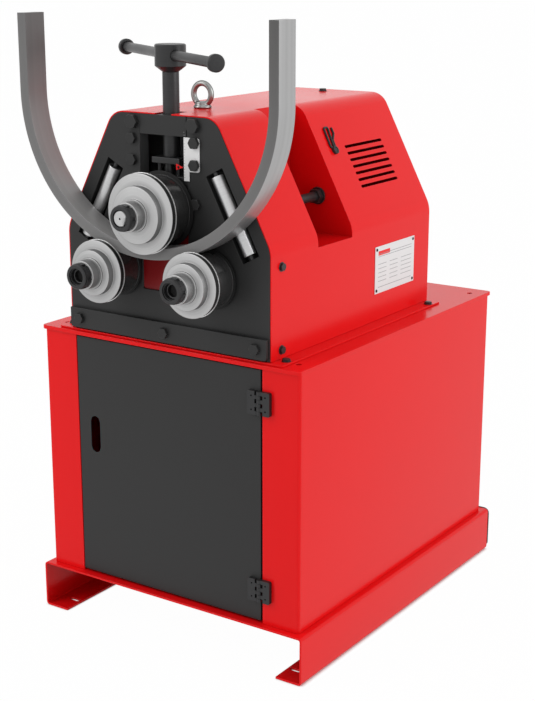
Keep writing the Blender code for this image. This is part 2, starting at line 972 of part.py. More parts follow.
# Strip across the foot of the front plate, and the guard in the foot of the window
strip_outline = [
    (-strip_half, housing_z + strip_foot),
    (strip_half, housing_z + strip_foot),
    (strip_half, housing_z + strip_foot + strip_height),
    (-strip_half, housing_z + strip_foot + strip_height),
]
prism(
    "bottom_strip",
    rounded(strip_outline, [strip_round, strip_round, 0, 0], 3),
    at(plate_front) - gap - strip_thickness,
    at(plate_front) - gap,
    black_paint,
    origin=(0, at(plate_front), housing_z),
)
prism(
    "inner_guard",
    window_outline(gap, upper_roll_height - carriage_foot_drop - guard_clearance),
    at(plate_front + guard_stand),
    at(plate_front + guard_stand) + guard_thickness,
    red_paint,
    origin=(0, at(plate_front), housing_z + window_foot),
)

# Scale on the front plate
scale_head_z = window_head_z - scale_head_drop
scale_outline = [
    (scale_left, scale_head_z - scale_strip_height),
    (scale_strip_right, scale_head_z - scale_strip_height),
    (scale_strip_right, scale_head_z - scale_tab_height),
    (scale_right, scale_head_z - scale_tab_height),
    (scale_right, scale_head_z),
    (scale_left, scale_head_z),
]
prism(
    "scale_plate",
    rounded(scale_outline, [0, 0, 0, scale_round, scale_round, 0], 3),
    at(plate_front) - gap - scale_sheet,
    at(plate_front) - gap,
    blank_plate,
    origin=(scale_left, at(plate_front), scale_head_z),
)

# Rear bearing plate inside the hood
rear_inset = hood_sheet + gap
rear_plate = prism(
    "rear_plate",
    hood_section(rear_inset, housing_z),
    at(rear_plate_front),
    at(rear_plate_front + rear_plate_thickness),
    cast_iron,
    origin=(0, at(rear_plate_front), housing_z),
)
rear_plate_back = rear_plate_front + rear_plate_thickness
gear_reach = lower_roll_side * gear_reach_share
pinion_drop = math.sqrt(gear_reach**2 - lower_roll_side**2)
pinion_z = lower_roll_height - pinion_drop
for side, word in ((-1, "left"), (1, "right")):
    hole = turn(
        rod(word + "_rear_hole", lower_shaft_hole, -overrun, rear_plate_thickness + overrun, black_paint, steps=round_steps),
        (math.radians(-90), 0, 0),
        (side * lower_roll_side, at(rear_plate_front), lower_roll_height),
    )
    change(rear_plate, hole)
drive_hole = turn(
    rod("drive_hole", pinion_shaft_radius + gap, -overrun, rear_plate_thickness + overrun, black_paint, steps=18),
    (math.radians(-90), 0, 0),
    (0, at(rear_plate_front), pinion_z),
)
change(rear_plate, drive_hole)
eye_y = at(rear_plate_front + rear_plate_thickness / 2)
eye_seat_z = plate_top_z - eye_shank_length
eye_seat = rod(
    "eye_seat",
    eye_shank_radius + gap,
    eye_seat_z - gap,
    hood_top_z + overrun,
    black_paint,
    steps=pin_steps,
    centre=(0, eye_y),
)
change(rear_plate, eye_seat)

# Lifting eye: a ring on a necked foot, with a shank in the rear plate
eye_foot_z = hood_top_z + gap
eye_bolt = turned(
    "eye_bolt",
    [
        (0, eye_foot_z + eye_neck_height),
        (eye_neck_radius, eye_foot_z + eye_neck_height),
        (eye_neck_radius, eye_foot_z + eye_base_height * 2),
        (eye_base_radius, eye_foot_z + eye_base_height),
        (eye_base_radius, eye_foot_z),
        (eye_shank_radius, eye_foot_z),
        (eye_shank_radius, eye_seat_z),
        (0, eye_seat_z),
    ],
    turned_steel,
    steps=pin_steps,
    centre=(0, eye_y),
)
ring_radius = eye_outer_radius - eye_wire_radius
ring_bm = bmesh.new()
ring_section = circle((ring_radius, 0), eye_wire_radius, 8)
ring_points = [ring_bm.verts.new((x, 0, z)) for x, z in ring_section]
ring_edges = [ring_bm.edges.new((ring_points[i - 1], ring_points[i])) for i in range(len(ring_points))]
bmesh.ops.spin(
    ring_bm, geom=ring_edges, cent=(0, 0, 0), axis=(0, 0, 1), angle=math.tau, steps=round_steps, use_merge=True
)
bmesh.ops.remove_doubles(ring_bm, verts=ring_bm.verts, dist=gap * weld_share)
eye_ring = join_scene("eye_ring", finish(ring_bm, "eye_ring", True), turned_steel)
turn(eye_ring, (math.radians(90), 0, 0), (0, eye_y, eye_foot_z + eye_outer_radius))
change(eye_bolt, eye_ring, "UNION")

# Bent bar: a U of flat bar that the upper roll presses into
bar_centre_z = upper_roll_height - upper_contact_radius - gap + bar_inner_radius
bar_outer_radius = bar_inner_radius + bar_thickness
bar_y = at(plate_front) - bar_stand - bar_width
feed_axis = axis_empty("feed_axis", (0, bar_y + bar_width / 2, bar_centre_z))
leg_top = bar_leg_length
bar_outline = [(-bar_outer_radius, leg_top)]
for k in range(bar_steps + 1):
    angle = math.pi + math.pi * k / bar_steps
    bar_outline.append((bar_outer_radius * math.cos(angle), bar_outer_radius * math.sin(angle)))
bar_outline += [(bar_outer_radius, leg_top), (bar_inner_radius, leg_top)]
for k in range(bar_steps + 1):
    angle = math.tau - math.pi * k / bar_steps
    bar_outline.append((bar_inner_radius * math.cos(angle), bar_inner_radius * math.sin(angle)))
bar_outline.append((-bar_inner_radius, leg_top))
prism("bent_bar", bar_outline, -bar_width / 2, bar_width / 2, bar_steel, parent=feed_axis, smooth=True)

# The rolls turn about lines along Y; heights in their profiles run forward from the front plate's face
lower_reach = math.hypot(lower_roll_side, bar_centre_z - lower_roll_height)
lower_contact_radius = lower_reach - bar_outer_radius - gap
rolls = {
    "upper": {
        "place": (0, upper_roll_height),
        "contact": upper_contact_radius,
        "rim": upper_contact_radius + upper_rim_rise,
        "face": upper_contact_radius + upper_face_rise,
        "step": upper_step_radius,
        "boss": carriage_front - plate_front - gap,
        "back": carriage_back - plate_front,
        "recess": 0,
    },
    "left": {
        "place": (-lower_roll_side, lower_roll_height),
        "contact": lower_contact_radius,
        "rim": lower_contact_radius + lower_rim_rise,
        "face": lower_contact_radius + lower_face_rise,
        "step": lower_step_radius,
        "boss": -gap,
        "back": rear_plate_back - plate_front,
        "recess": lower_thread_recess,
    },
}
rolls["right"] = dict(rolls["left"], place=(lower_roll_side, lower_roll_height))
roll_bore = shaft_radius + gap
groove_back = bar_stand - gap
groove_front = bar_stand + bar_width + gap
face_front = groove_front + ring_width + groove_width + face_width
step_front = face_front + step_width
collar_front = step_front + collar_width
nut_back = collar_front + gap
nut_front = nut_back + nut_width
roll_turn = (math.radians(90), 0, 0)
roll_axes = {}
for word, roll in rolls.items():
    axis = axis_empty(word + "_roll_axis", (roll["place"][0], at(plate_front), roll["place"][1]), roll_turn)
    roll_axes[word] = axis
    ring = roll["face"] + ring_proud
    groove = roll["face"] - groove_depth
    turned(
        word + "_roll_face",
        [
            (collar_radius, collar_front),
            (collar_radius, step_front + collar_root_width),
            (collar_root_radius, step_front + collar_root_width),
            (collar_root_radius, step_front),
            (roll["step"], step_front),
            (roll["step"], face_front),
            (roll["face"] - rim_chamfer, face_front),
            (roll["face"], face_front - rim_chamfer),
            (roll["face"], face_front - face_width),
            (groove, face_front - face_width),
            (groove, groove_front + ring_width),
            (ring, groove_front + ring_width),
            (ring, groove_front),
            (roll_bore, groove_front),
            (roll_bore, collar_front),
        ],
        turned_steel,
        axis,
    )
    boss_back = -roll["boss"]
    turned(
        word + "_roll_drum",
        [
            (roll["contact"], groove_front - gap),
            (roll["contact"], groove_back),
            (roll["rim"], groove_back),
            (roll["rim"], groove_back - rim_width + rim_chamfer),
            (roll["rim"] - rim_chamfer, groove_back - rim_width),
            (boss_radius, groove_back - rim_width),
            (boss_radius, boss_back),
            (roll_bore, boss_back),
            (roll_bore, groove_front - gap),
        ],
        dark_steel,
        axis,
    )
    nut = turned(
        word + "_roll_nut",
        [
            (nut_front_radius, nut_front),
            (nut_front_radius, nut_front - nut_front_width),
            (nut_back_radius, nut_front - nut_front_width),
            (nut_back_radius, nut_back),
            (shaft_thread_radius + gap, nut_back),
            (shaft_thread_radius + gap, nut_front - nut_mouth_depth),
            (nut_mouth_radius, nut_front - nut_mouth_depth),
            (nut_mouth_radius, nut_front),
        ],
        dark_steel,
        axis,
        18,
    )
    notches = []
    for k in range(nut_notches):
        angle = math.tau * k / nut_notches
        across = nut_notch_width / 2
        inner = nut_back_radius - nut_notch_depth
        outer = nut_back_radius + overrun
        corners = [(inner, -across), (outer, -across), (outer, across), (inner, across)]
        spun = [
            (x * math.cos(angle) - y * math.sin(angle), x * math.sin(angle) + y * math.cos(angle)) for x, y in corners
        ]
        notches.append(prism_mesh("notch", spun, nut_back - overrun, nut_front - nut_front_width, "Z"))
    notch_cutter = several(word + "_nut_notches", notches)
    notch_cutter.parent = axis
    change(nut, notch_cutter)
    thread_end = nut_front - roll["recess"]
    turned(
        word + "_roll_shaft",
        [
            (0, thread_end),
            (shaft_thread_radius - shaft_chamfer, thread_end),
            (shaft_thread_radius, thread_end - shaft_chamfer),
            (shaft_thread_radius, collar_front - gap),
            (shaft_radius, collar_front - gap),
            (shaft_radius, -roll["back"]),
            (0, -roll["back"]),
        ],
        turned_steel,
        axis,
        18,
    )

# Bearings in the two plates
front_mid = at(plate_front + bearing_inset)
rear_mid = at(rear_plate_front + bearing_inset)
for side, word in ((-1, "left"), (1, "right")):
    for place, y, width in (
        ("front", front_mid, plate_thickness - bearing_inset * 2),
        ("rear", rear_mid, rear_plate_thickness - bearing_inset * 2),
    ):
        bearing = turned(
            word + "_" + place + "_bearing",
            [(bearing_radius, width), (bearing_radius, 0), (roll_bore, 0), (roll_bore, width)],
            turned_steel,
        )
        turn(bearing, (math.radians(-90), 0, 0), (side * lower_roll_side, y, lower_roll_height))

# Gears: teeth with straight flanks, cut a little narrow for backlash
gear_module = gear_reach * 2 / (gear_teeth + pinion_teeth)


def gear_outline(teeth, tooth_at):
    """Round the gear's own axis; one tooth's middle points along the angle tooth_at."""
    pitch_radius = gear_module * teeth / 2
    pitch_angle = math.tau / teeth
    tip = pitch_radius + gear_module * tooth_add_share
    root = pitch_radius - gear_module * tooth_root_share
    quarter = pitch_angle / 4
    made = []
    for k in range(teeth):
        middle = tooth_at + pitch_angle * k
        for radius, half in (
            (root, -quarter * tooth_root_half_share),
            (tip, -quarter * tooth_tip_half_share),
            (tip, quarter * tooth_tip_half_share),
            (root, quarter * tooth_root_half_share),
        ):
            made.append((radius * math.cos(middle + half), radius * math.sin(middle + half)))
    return made


def gear_piece(name, place, teeth, tooth_at, bore):
    gear = prism(
        name,
        [(place[0] + x, place[1] + z) for x, z in gear_outline(teeth, tooth_at)],
        at(gear_front),
        at(gear_front + gear_width),
        cast_iron,
        origin=(place[0], at(gear_front), place[1]),
    )
    if bore > 0:
        hole = turn(
            rod(name + "_bore", bore, -overrun, gear_width + overrun, cast_iron, steps=18),
            (math.radians(-90), 0, 0),
            (place[0], at(gear_front), place[1]),
        )
        change(gear, hole)
    return gear


mesh_angle = math.atan2(pinion_drop, lower_roll_side)
pinion_gap_at = math.pi - mesh_angle
gear_piece("left_gear", (-lower_roll_side, lower_roll_height), gear_teeth, -mesh_angle, roll_bore)
pinion_pitch = math.tau / pinion_teeth
lag = (mesh_angle - pinion_gap_at) % pinion_pitch
right_tooth_at = math.pi + mesh_angle + lag * pinion_teeth / gear_teeth
gear_piece("right_gear", (lower_roll_side, lower_roll_height), gear_teeth, right_tooth_at, roll_bore)
pinion = gear_piece("drive_pinion", (0, pinion_z), pinion_teeth, pinion_gap_at + pinion_pitch / 2, 0)
pinion_shaft = turn(
    rod(
        "pinion_shaft",
        pinion_shaft_radius,
        -gap,
        rear_plate_back + pinion_shaft_seat - gear_front,
        cast_iron,
        steps=18,
    ),
    (math.radians(-90), 0, 0),
    (0, at(gear_front), pinion_z),
)
change(pinion, pinion_shaft, "UNION")

# Gearbox on the back of the rear plate, motor behind it
gearbox_y = at(rear_plate_back) + gap
gearbox = box(
    "gearbox",
    (-gearbox_half, gearbox_half),
    (gearbox_y, gearbox_y + gearbox_length),
    (pinion_z - gearbox_height / 2, pinion_z + gearbox_height / 2),
    cast_iron,
    origin=(0, gearbox_y, pinion_z),
)
edge = gearbox.modifiers.new("edges", "BEVEL")
edge.width = gearbox_bevel
edge.segments = 2
gearbox_bore = turn(
    rod("gearbox_bore", pinion_shaft_radius + gap, -overrun, pinion_shaft_seat + overrun, black_paint, steps=18),
    (math.radians(-90), 0, 0),
    (0, gearbox_y, pinion_z),
)
change(gearbox, gearbox_bore)
motor_y = gearbox_y + gearbox_length + gap
motor = turned(
    "motor",
    [
        (0, motor_length + motor_shaft_length),
        (motor_shaft_radius, motor_length + motor_shaft_length),
        (motor_shaft_radius, motor_length),
        (motor_radius, motor_length),
        (motor_radius, motor_flange_width),
        (motor_flange_radius, motor_flange_width),
        (motor_flange_radius, 0),
        (0, 0),
    ],
    cast_iron,
)
turn(motor, (math.radians(-90), 0, 0), (0, motor_y, pinion_z))
fan_y = motor_y + motor_length + fan_stand
fan_outline = []
for k in range(fan_blades):
    middle = math.tau * k / fan_blades
    blade_half = math.pi / fan_blades * fan_blade_half_share
    root_half = math.pi / fan_blades * fan_root_half_share
    for radius, half in (
        (fan_hub_radius, -root_half),
        (fan_radius, -blade_half),
        (fan_radius, blade_half),
        (fan_hub_radius, root_half),
    ):
        fan_outline.append((radius * math.cos(middle + half), radius * math.sin(middle + half)))
fan = prism(
    "motor_fan",
    [(x, pinion_z + z) for x, z in fan_outline],
    fan_y,
    fan_y + fan_width,
    black_paint,
    origin=(0, fan_y, pinion_z),
)
fan_bore = turn(
    rod("fan_bore", motor_shaft_radius + gap, -overrun, fan_width + overrun, black_paint, steps=pin_steps),
    (math.radians(-90), 0, 0),
    (0, fan_y, pinion_z),
)
change(fan, fan_bore)

# Carriage: a block round the upper shaft's bush, with columns up to a crosshead
carriage_axis = axis_empty("carriage_axis", (0, screw_y, upper_roll_height))
block_head = carriage_head_rise
carriage = box(
    "carriage",
    (-window_half + running_gap, window_half - running_gap),
    (at(carriage_front) - screw_y, at(carriage_back) - screw_y),
    (-carriage_foot_drop, block_head),
    dark_steel,
    parent=carriage_axis,
)
crosshead_head = crosshead_foot_rise + crosshead_thickness
crosshead = box(
    "crosshead",
    (-crosshead_half, crosshead_half),
    (at(crosshead_front) - screw_y, at(crosshead_back) - screw_y),
    (crosshead_foot_rise, crosshead_head),
    dark_steel,
    parent=carriage_axis,
)
column_y = at(column_setback) - screw_y
column = rod(
    "column",
    column_radius,
    block_head - overrun,
    crosshead_foot_rise + overrun,
    dark_steel,
    carriage_axis,
    pin_steps,
    (0, column_y),
)
change(carriage, column, "UNION")
for side, word in ((-1, "left"), (1, "right")):
    stud = rod(
        word + "_stud",
        stud_radius,
        block_head - overrun,
        crosshead_foot_rise + overrun,
        dark_steel,
        carriage_axis,
        12,
        (side * stud_side, column_y),
    )
    change(carriage, stud, "UNION")
change(carriage, crosshead, "UNION")
pointer_mid = crosshead_foot_rise - pointer_drop
pointer_lug = box(
    "pointer_lug",
    (pointer_tail, crosshead_half),
    (at(crosshead_front) - screw_y, at(crosshead_front) - screw_y + pointer_lug_thickness),
    (pointer_mid - pointer_half_height, crosshead_foot_rise + overrun),
    dark_steel,
    parent=carriage_axis,
)
change(carriage, pointer_lug, "UNION")
bush_bore = turn(
    rod(
        "bush_bore",
        upper_bush_radius + gap,
        -overrun,
        carriage_back - carriage_front + overrun,
        black_paint,
        steps=round_steps,
    ),
    (math.radians(-90), 0, 0),
    (0, at(carriage_front), upper_roll_height),
)
change(carriage, bush_bore)
bush_length = carriage_back - carriage_front - upper_bush_inset * 2
bush = turned(
    "upper_bush",
    [(upper_bush_radius, bush_length), (upper_bush_radius, 0), (roll_bore, 0), (roll_bore, bush_length)],
    turned_steel,
)
turn(bush, (math.radians(-90), 0, 0), (0, at(carriage_front) + upper_bush_inset, upper_roll_height))

# Pointer on the front of the crosshead and its lug
pointer_back = at(crosshead_front) - gap - screw_y
pointer_outline = [
    (pointer_tail, pointer_mid - pointer_half_height),
    (pointer_tip, pointer_mid),
    (pointer_tail, pointer_mid + pointer_half_height),
]
prism(
    "pointer",
    pointer_outline,
    pointer_back - pointer_sheet,
    pointer_back,
    red_paint,
    parent=carriage_axis,
)

# Screw and T handle
crosshead_z = upper_roll_height + crosshead_head
screw_axis = axis_empty("screw_axis", (0, screw_y, crosshead_z))
hub_foot_z = hub_foot - crosshead_z
turned(
    "screw",
    [
        (0, hub_foot_z + screw_stub_length),
        (screw_stub_radius, hub_foot_z + screw_stub_length),
        (screw_stub_radius, hub_foot_z),
        (screw_radius, hub_foot_z - gap),
        (screw_radius, gap),
        (0, gap),
    ],
    dark_steel,
    screw_axis,
    24,
)
stub_bore = screw_stub_radius + gap
hub = turned(
    "handle_hub",
    [
        (0, hub_foot_z + hub_height),
        (hub_radius - hub_chamfer, hub_foot_z + hub_height),
        (hub_radius, hub_foot_z + hub_height - hub_chamfer),
        (hub_radius, hub_foot_z + hub_shoulder),
        (screw_radius, hub_foot_z),
        (stub_bore, hub_foot_z),
        (stub_bore, hub_foot_z + screw_stub_length + gap),
        (0, hub_foot_z + screw_stub_length + gap),
    ],
    dark_steel,
    screw_axis,
    20,
)
rod_axis = axis_empty(
    "rod_axis",
    (0, screw_y, hub_foot + rod_rise),
    (math.radians(90), 0, math.radians(90 + rod_angle)),
)
rod_bore = rod("rod_bore", rod_radius + running_gap, -hub_radius - overrun, hub_radius + overrun, dark_steel, rod_axis)
change(hub, rod_bore)
rod_low = -rod_long_reach + knob_width - knob_bore_depth
rod_high = rod_short_reach - knob_width + knob_bore_depth
rod("handle_rod", rod_radius, rod_low, rod_high, turned_steel, rod_axis)
knob_profile = [
    (0, knob_width),
    (knob_radius - knob_round, knob_width),
    (knob_radius, knob_width - knob_round),
    (knob_radius, knob_round / 2),
    (knob_radius - knob_round / 2, 0),
    (rod_radius + gap, 0),
    (rod_radius + gap, knob_bore_depth + gap),
    (0, knob_bore_depth + gap),
]
short_knob = turned("front_knob", knob_profile, dark_steel, rod_axis, small_steps)
short_knob.location = (0, 0, rod_short_reach - knob_width)
long_knob = turned("back_knob", knob_profile, dark_steel, rod_axis, small_steps)
long_knob.location = (0, 0, -rod_long_reach + knob_width)
long_knob.rotation_euler = (math.pi, 0, 0)

# Blank plate on the right side of the hood
box(
    "side_label",
    (hood_half_width + gap, hood_half_width + gap + label_sheet),
    (at(label_front), at(label_back)),
    (housing_z + label_foot, housing_z + label_foot + label_height),
    blank_plate,
    origin=(hood_half_width, at(label_front), housing_z + label_foot),
)

# Tool clip on the right slope: a boss and two prongs that part upward
clip = prism(
    "tool_clip",
    circle((clip_setback, -clip_along), clip_boss_radius, pin_steps),
    gap,
    gap + clip_boss_height,
    black_paint,
    "X",
    parent=slope_frame,
)
for word, lean, length in (
    ("left", clip_left_lean, clip_prong_length),
    ("right", clip_right_lean, clip_prong_length * clip_short_share),
):
    angle = math.radians(lean)
    across = Vector((math.cos(angle), math.sin(angle))) * (clip_prong_width / 2)
    ahead = Vector((-math.sin(angle), math.cos(angle))) * length
    foot = Vector((clip_setback, -clip_along))
    corners = [foot - across, foot + across, foot + across + ahead, foot - across + ahead]
    prong = prism(
        word + "_prong",
        [(p.x, p.y) for p in corners],
        gap * 2,
        gap * 2 + clip_prong_height,
        black_paint,
        "X",
        parent=slope_frame,
    )
    change(clip, prong, "UNION")
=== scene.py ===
import json
import math

import bmesh
import bpy
from mathutils import Matrix, Vector

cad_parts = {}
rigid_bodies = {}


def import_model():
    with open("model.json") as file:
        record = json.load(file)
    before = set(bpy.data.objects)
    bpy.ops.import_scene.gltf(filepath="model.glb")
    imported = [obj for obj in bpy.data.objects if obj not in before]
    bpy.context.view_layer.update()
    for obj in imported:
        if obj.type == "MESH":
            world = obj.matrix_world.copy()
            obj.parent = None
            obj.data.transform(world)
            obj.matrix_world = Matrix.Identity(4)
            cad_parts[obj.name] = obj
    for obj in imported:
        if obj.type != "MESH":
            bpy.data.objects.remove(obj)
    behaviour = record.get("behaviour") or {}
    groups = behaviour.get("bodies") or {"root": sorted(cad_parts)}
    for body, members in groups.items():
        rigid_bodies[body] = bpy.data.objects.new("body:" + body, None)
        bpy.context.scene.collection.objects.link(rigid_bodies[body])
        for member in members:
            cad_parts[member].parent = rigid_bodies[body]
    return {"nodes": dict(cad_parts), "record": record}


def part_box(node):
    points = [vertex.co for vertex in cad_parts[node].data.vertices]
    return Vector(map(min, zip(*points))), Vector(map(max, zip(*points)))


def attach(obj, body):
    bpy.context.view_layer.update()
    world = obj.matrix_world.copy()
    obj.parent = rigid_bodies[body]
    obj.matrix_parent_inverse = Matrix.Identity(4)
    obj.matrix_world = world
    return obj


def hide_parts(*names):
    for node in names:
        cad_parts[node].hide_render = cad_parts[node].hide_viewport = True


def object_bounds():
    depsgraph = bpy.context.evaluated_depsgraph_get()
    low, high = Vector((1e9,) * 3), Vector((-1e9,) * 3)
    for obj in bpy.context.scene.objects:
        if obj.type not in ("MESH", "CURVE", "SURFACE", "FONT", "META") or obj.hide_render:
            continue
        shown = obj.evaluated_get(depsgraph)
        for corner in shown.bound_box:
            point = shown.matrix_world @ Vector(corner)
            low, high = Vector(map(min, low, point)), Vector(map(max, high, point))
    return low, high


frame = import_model()
cadLow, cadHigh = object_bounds()
bodyOf = {}
for body, members in frame["record"]["behaviour"]["bodies"].items():
    for member in members:
        bodyOf[member] = body
slotOf = {part["node"]: part["material_slot"] for part in frame["record"]["subparts"]}
print("frame loaded:", len(frame["nodes"]), "nodes")

# Camera at the photograph's place and angle
cameraView = {
    "place": (1.5896, -2.3255, 1.2873),
    "pitch": 74.63,
    "turn": 34.17,
    "lens": 73.77,
}
viewCamera = bpy.data.cameras.new("viewCamera")
viewCamera.lens = cameraView["lens"]
cameraObject = bpy.data.objects.new("viewCamera", viewCamera)
cameraObject.location = cameraView["place"]
cameraObject.rotation_euler = (math.radians(cameraView["pitch"]), 0, math.radians(cameraView["turn"]))
bpy.context.scene.collection.objects.link(cameraObject)
bpy.context.scene.camera = cameraObject
bpy.context.scene.view_settings.view_transform = "Standard"
print("camera placed")


def putInScene(name, data):
    piece = bpy.data.objects.new(name, data)
    bpy.context.scene.collection.objects.link(piece)
    return piece


# Node helpers, for shaders and for Geometry Nodes: an input is a socket to link or a value to set
def isSocket(value):
    return isinstance(value, bpy.types.NodeSocket)


def feed(tree, node, inputs):
    for label, value in inputs.items():
        if isSocket(value):
            tree.links.new(value, node.inputs[label])
        else:
            node.inputs[label].default_value = value


def addNode(tree, kind, inputs=None, **values):
    node = tree.nodes.new(kind)
    for key, value in values.items():
        setattr(node, key, value)
    feed(tree, node, inputs or {})
    return node


def mathNode(tree, operation, first, second=0.0):
    return addNode(tree, "ShaderNodeMath", {0: first, 1: second}, operation=operation).outputs[0]


def joinXYZ(tree, inputs):
    return addNode(tree, "ShaderNodeCombineXYZ", inputs).outputs["Vector"]


def splitXYZ(tree, vector):
    return addNode(tree, "ShaderNodeSeparateXYZ", {0: vector}).outputs


def spread(tree, value, fromLow, fromHigh, toLow=0.0, toHigh=1.0):
    bounds = {"From Min": fromLow, "From Max": fromHigh, "To Min": toLow, "To Max": toHigh}
    return addNode(tree, "ShaderNodeMapRange", {"Value": value, **bounds}).outputs["Result"]


def noiseNode(tree, place, scale, detail):
    inputs = {"Vector": place, "Scale": scale, "Detail": detail}
    return addNode(tree, "ShaderNodeTexNoise", inputs).outputs["Fac"]


# An input without a value is a vector
def newGroup(name, inputs, outputs):
    group = bpy.data.node_groups.new(name, "ShaderNodeTree")
    for label, value in inputs.items():
        kind = "NodeSocketVector" if value is None else "NodeSocketFloat"
        socket = group.interface.new_socket(label, in_out="INPUT", socket_type=kind)
        if value is not None:
            socket.default_value = value
    for label in outputs:
        group.interface.new_socket(label, in_out="OUTPUT", socket_type="NodeSocketFloat")
    return group, addNode(group, "NodeGroupInput").outputs, addNode(group, "NodeGroupOutput")


def useGroup(tree, group, inputs):
    return addNode(tree, "ShaderNodeGroup", inputs, node_tree=group).outputs


# Surface grain: a fine peel or pitting, broad drifts of tone, and a roughness that follows them
def makeGrainGroup():
    inputs = {"Place": None, "Peel Scale": 900.0, "Drift Scale": 5.0, "Rough Low": 0.35, "Rough High": 0.45}
    group, given, end = newGroup("surfaceGrain", inputs, ("Peel", "Drift", "Roughness"))
    peel = noiseNode(group, given["Place"], given["Peel Scale"], 2.0)
    drift = noiseNode(group, given["Place"], given["Drift Scale"], 3.0)
    rough = spread(group, drift, 0.3, 0.7, given["Rough Low"], given["Rough High"])
    feed(group, end, {"Peel": peel, "Drift": drift, "Roughness": rough})
    return group


# Wear and painted highlight: a lighter band along the convex edges, broken up by a noise, partly worn paint
# and partly the glint of light on the edges
def makeEdgeGroup():
    inputs = {"Place": None, "Reach": 0.0015, "Breakup": 60.0, "Amount": 1.0}
    group, given, end = newGroup("edgeWear", inputs, ("Edge",))
    bevel = addNode(group, "ShaderNodeBevel", {"Radius": given["Reach"]}, samples=4)
    normals = {0: bevel.outputs["Normal"], 1: addNode(group, "ShaderNodeNewGeometry").outputs["Normal"]}
    turned = addNode(group, "ShaderNodeVectorMath", normals, operation="DOT_PRODUCT")
    bent = spread(group, turned.outputs["Value"], 0.995, 0.90)
    broken = spread(group, noiseNode(group, given["Place"], given["Breakup"], 2.0), 0.35, 0.65)
    both = mathNode(group, "MULTIPLY", bent, broken)
    feed(group, end, {"Edge": mathNode(group, "MULTIPLY", both, given["Amount"])})
    return group


# Tool marks: fine lines along the feed of the lathe or the drawing die. Across is metres, Along a whole turn
def makeToolMarkGroup():
    inputs = {"Across": 0.0, "Along": 0.0, "Pitch": 2500.0, "Waver": 0.5}
    group, given, end = newGroup("toolMarks", inputs, ("Marks", "Bands"))
    turned = mathNode(group, "MULTIPLY", given["Along"], math.tau)
    places = {"X": mathNode(group, "MULTIPLY", given["Across"], given["Pitch"])}
    for word, axis in (("COSINE", "Y"), ("SINE", "Z")):
        places[axis] = mathNode(group, "MULTIPLY", mathNode(group, word, turned), given["Waver"])
    fine = joinXYZ(group, places)
    broad = addNode(group, "ShaderNodeVectorMath", {0: fine, "Scale": 0.12}, operation="SCALE")
    marks = noiseNode(group, fine, 1.0, 3.0)
    bands = noiseNode(group, broad.outputs["Vector"], 1.0, 2.0)
    feed(group, end, {"Marks": marks, "Bands": bands})
    return group


# Painted shade: corners and recesses of a piece are darkened where ambient occlusion finds other surfaces
# close by
def makeCornerShadeGroup():
    group, given, end = newGroup("paintedCornerShade", {"Reach": 0.014, "Amount": 0.5}, ("Clean",))
    reach = {"Distance": given["Reach"]}
    corner = addNode(group, "ShaderNodeAmbientOcclusion", reach, samples=8, only_local=True)
    lost = mathNode(group, "MULTIPLY", spread(group, corner.outputs["AO"], 1.0, 0.0), given["Amount"])
    feed(group, end, {"Clean": mathNode(group, "SUBTRACT", 1.0, lost)})
    return group


surfaceGrain = makeGrainGroup()
edgeWear = makeEdgeGroup()
toolMarks = makeToolMarkGroup()
paintedCornerShade = makeCornerShadeGroup()


def newMaterial(name):
    material = bpy.data.materials.new(name)
    material.use_nodes = True
    tree = material.node_tree
    return material, tree, tree.nodes["Principled BSDF"]


# A grey may be given as one number
def asColour(value):
    if isSocket(value):
        return value
    return (*value, 1) if isinstance(value, tuple) else (value, value, value, 1)


def scaleColour(value, share):
    return tuple(min(channel * share, 0.9) for channel in asColour(value)[:3])


def mixColours(tree, factor, first, second, blend="MIX"):
    inputs = {"Factor": factor, 6: asColour(first), 7: asColour(second)}
    return addNode(tree, "ShaderNodeMix", inputs, data_type="RGBA", blend_type=blend).outputs[2]


def bumpFrom(tree, height, strength, distance, shader):
    bump = addNode(tree, "ShaderNodeBump", {"Strength": strength, "Distance": distance, "Height": height})
    feed(tree, shader, {"Normal": bump.outputs["Normal"]})


# Painted sheet and plate
coats = {
    "redCoat": {
        "colour": (0.78, 0.0055, 0.007),
        "shade": (0.74, 0.0045, 0.006),
        "edge": (0.8, 0.05, 0.055),
        "edgeAmount": 0.35,
        "rough": (0.2, 0.26),
        "peel": 0.05,
        "specular": 0.15,
        "cornerShade": (0.11, 0.5),
    },
    # Painted shade: a darker copy of the red coat for the inner guard, which sits in the rolls' shade
    "guardCoat": {
        "colour": (0.22, 0.006, 0.008),
        "shade": (0.19, 0.005, 0.006),
        "edge": (0.3, 0.02, 0.022),
        "edgeAmount": 0.3,
        "rough": (0.3, 0.38),
        "peel": 0.05,
        "specular": 0.25,
    },
    "blackCoat": {
        "colour": 0.0265,
        "shade": 0.0225,
        "edge": (0.07, 0.07, 0.071),
        "edgeAmount": 0.5,
        "rough": (0.42, 0.5),
        "peel": 0.08,
        "specular": 0.25,
    },
    "pointerRed": {
        "colour": (0.84, 0.016, 0.018),
        "shade": (0.78, 0.012, 0.014),
        "edge": (0.85, 0.06, 0.06),
        "edgeAmount": 0.3,
        "rough": (0.35, 0.42),
        "peel": 0.03,
        "specular": 0.25,
    },
}


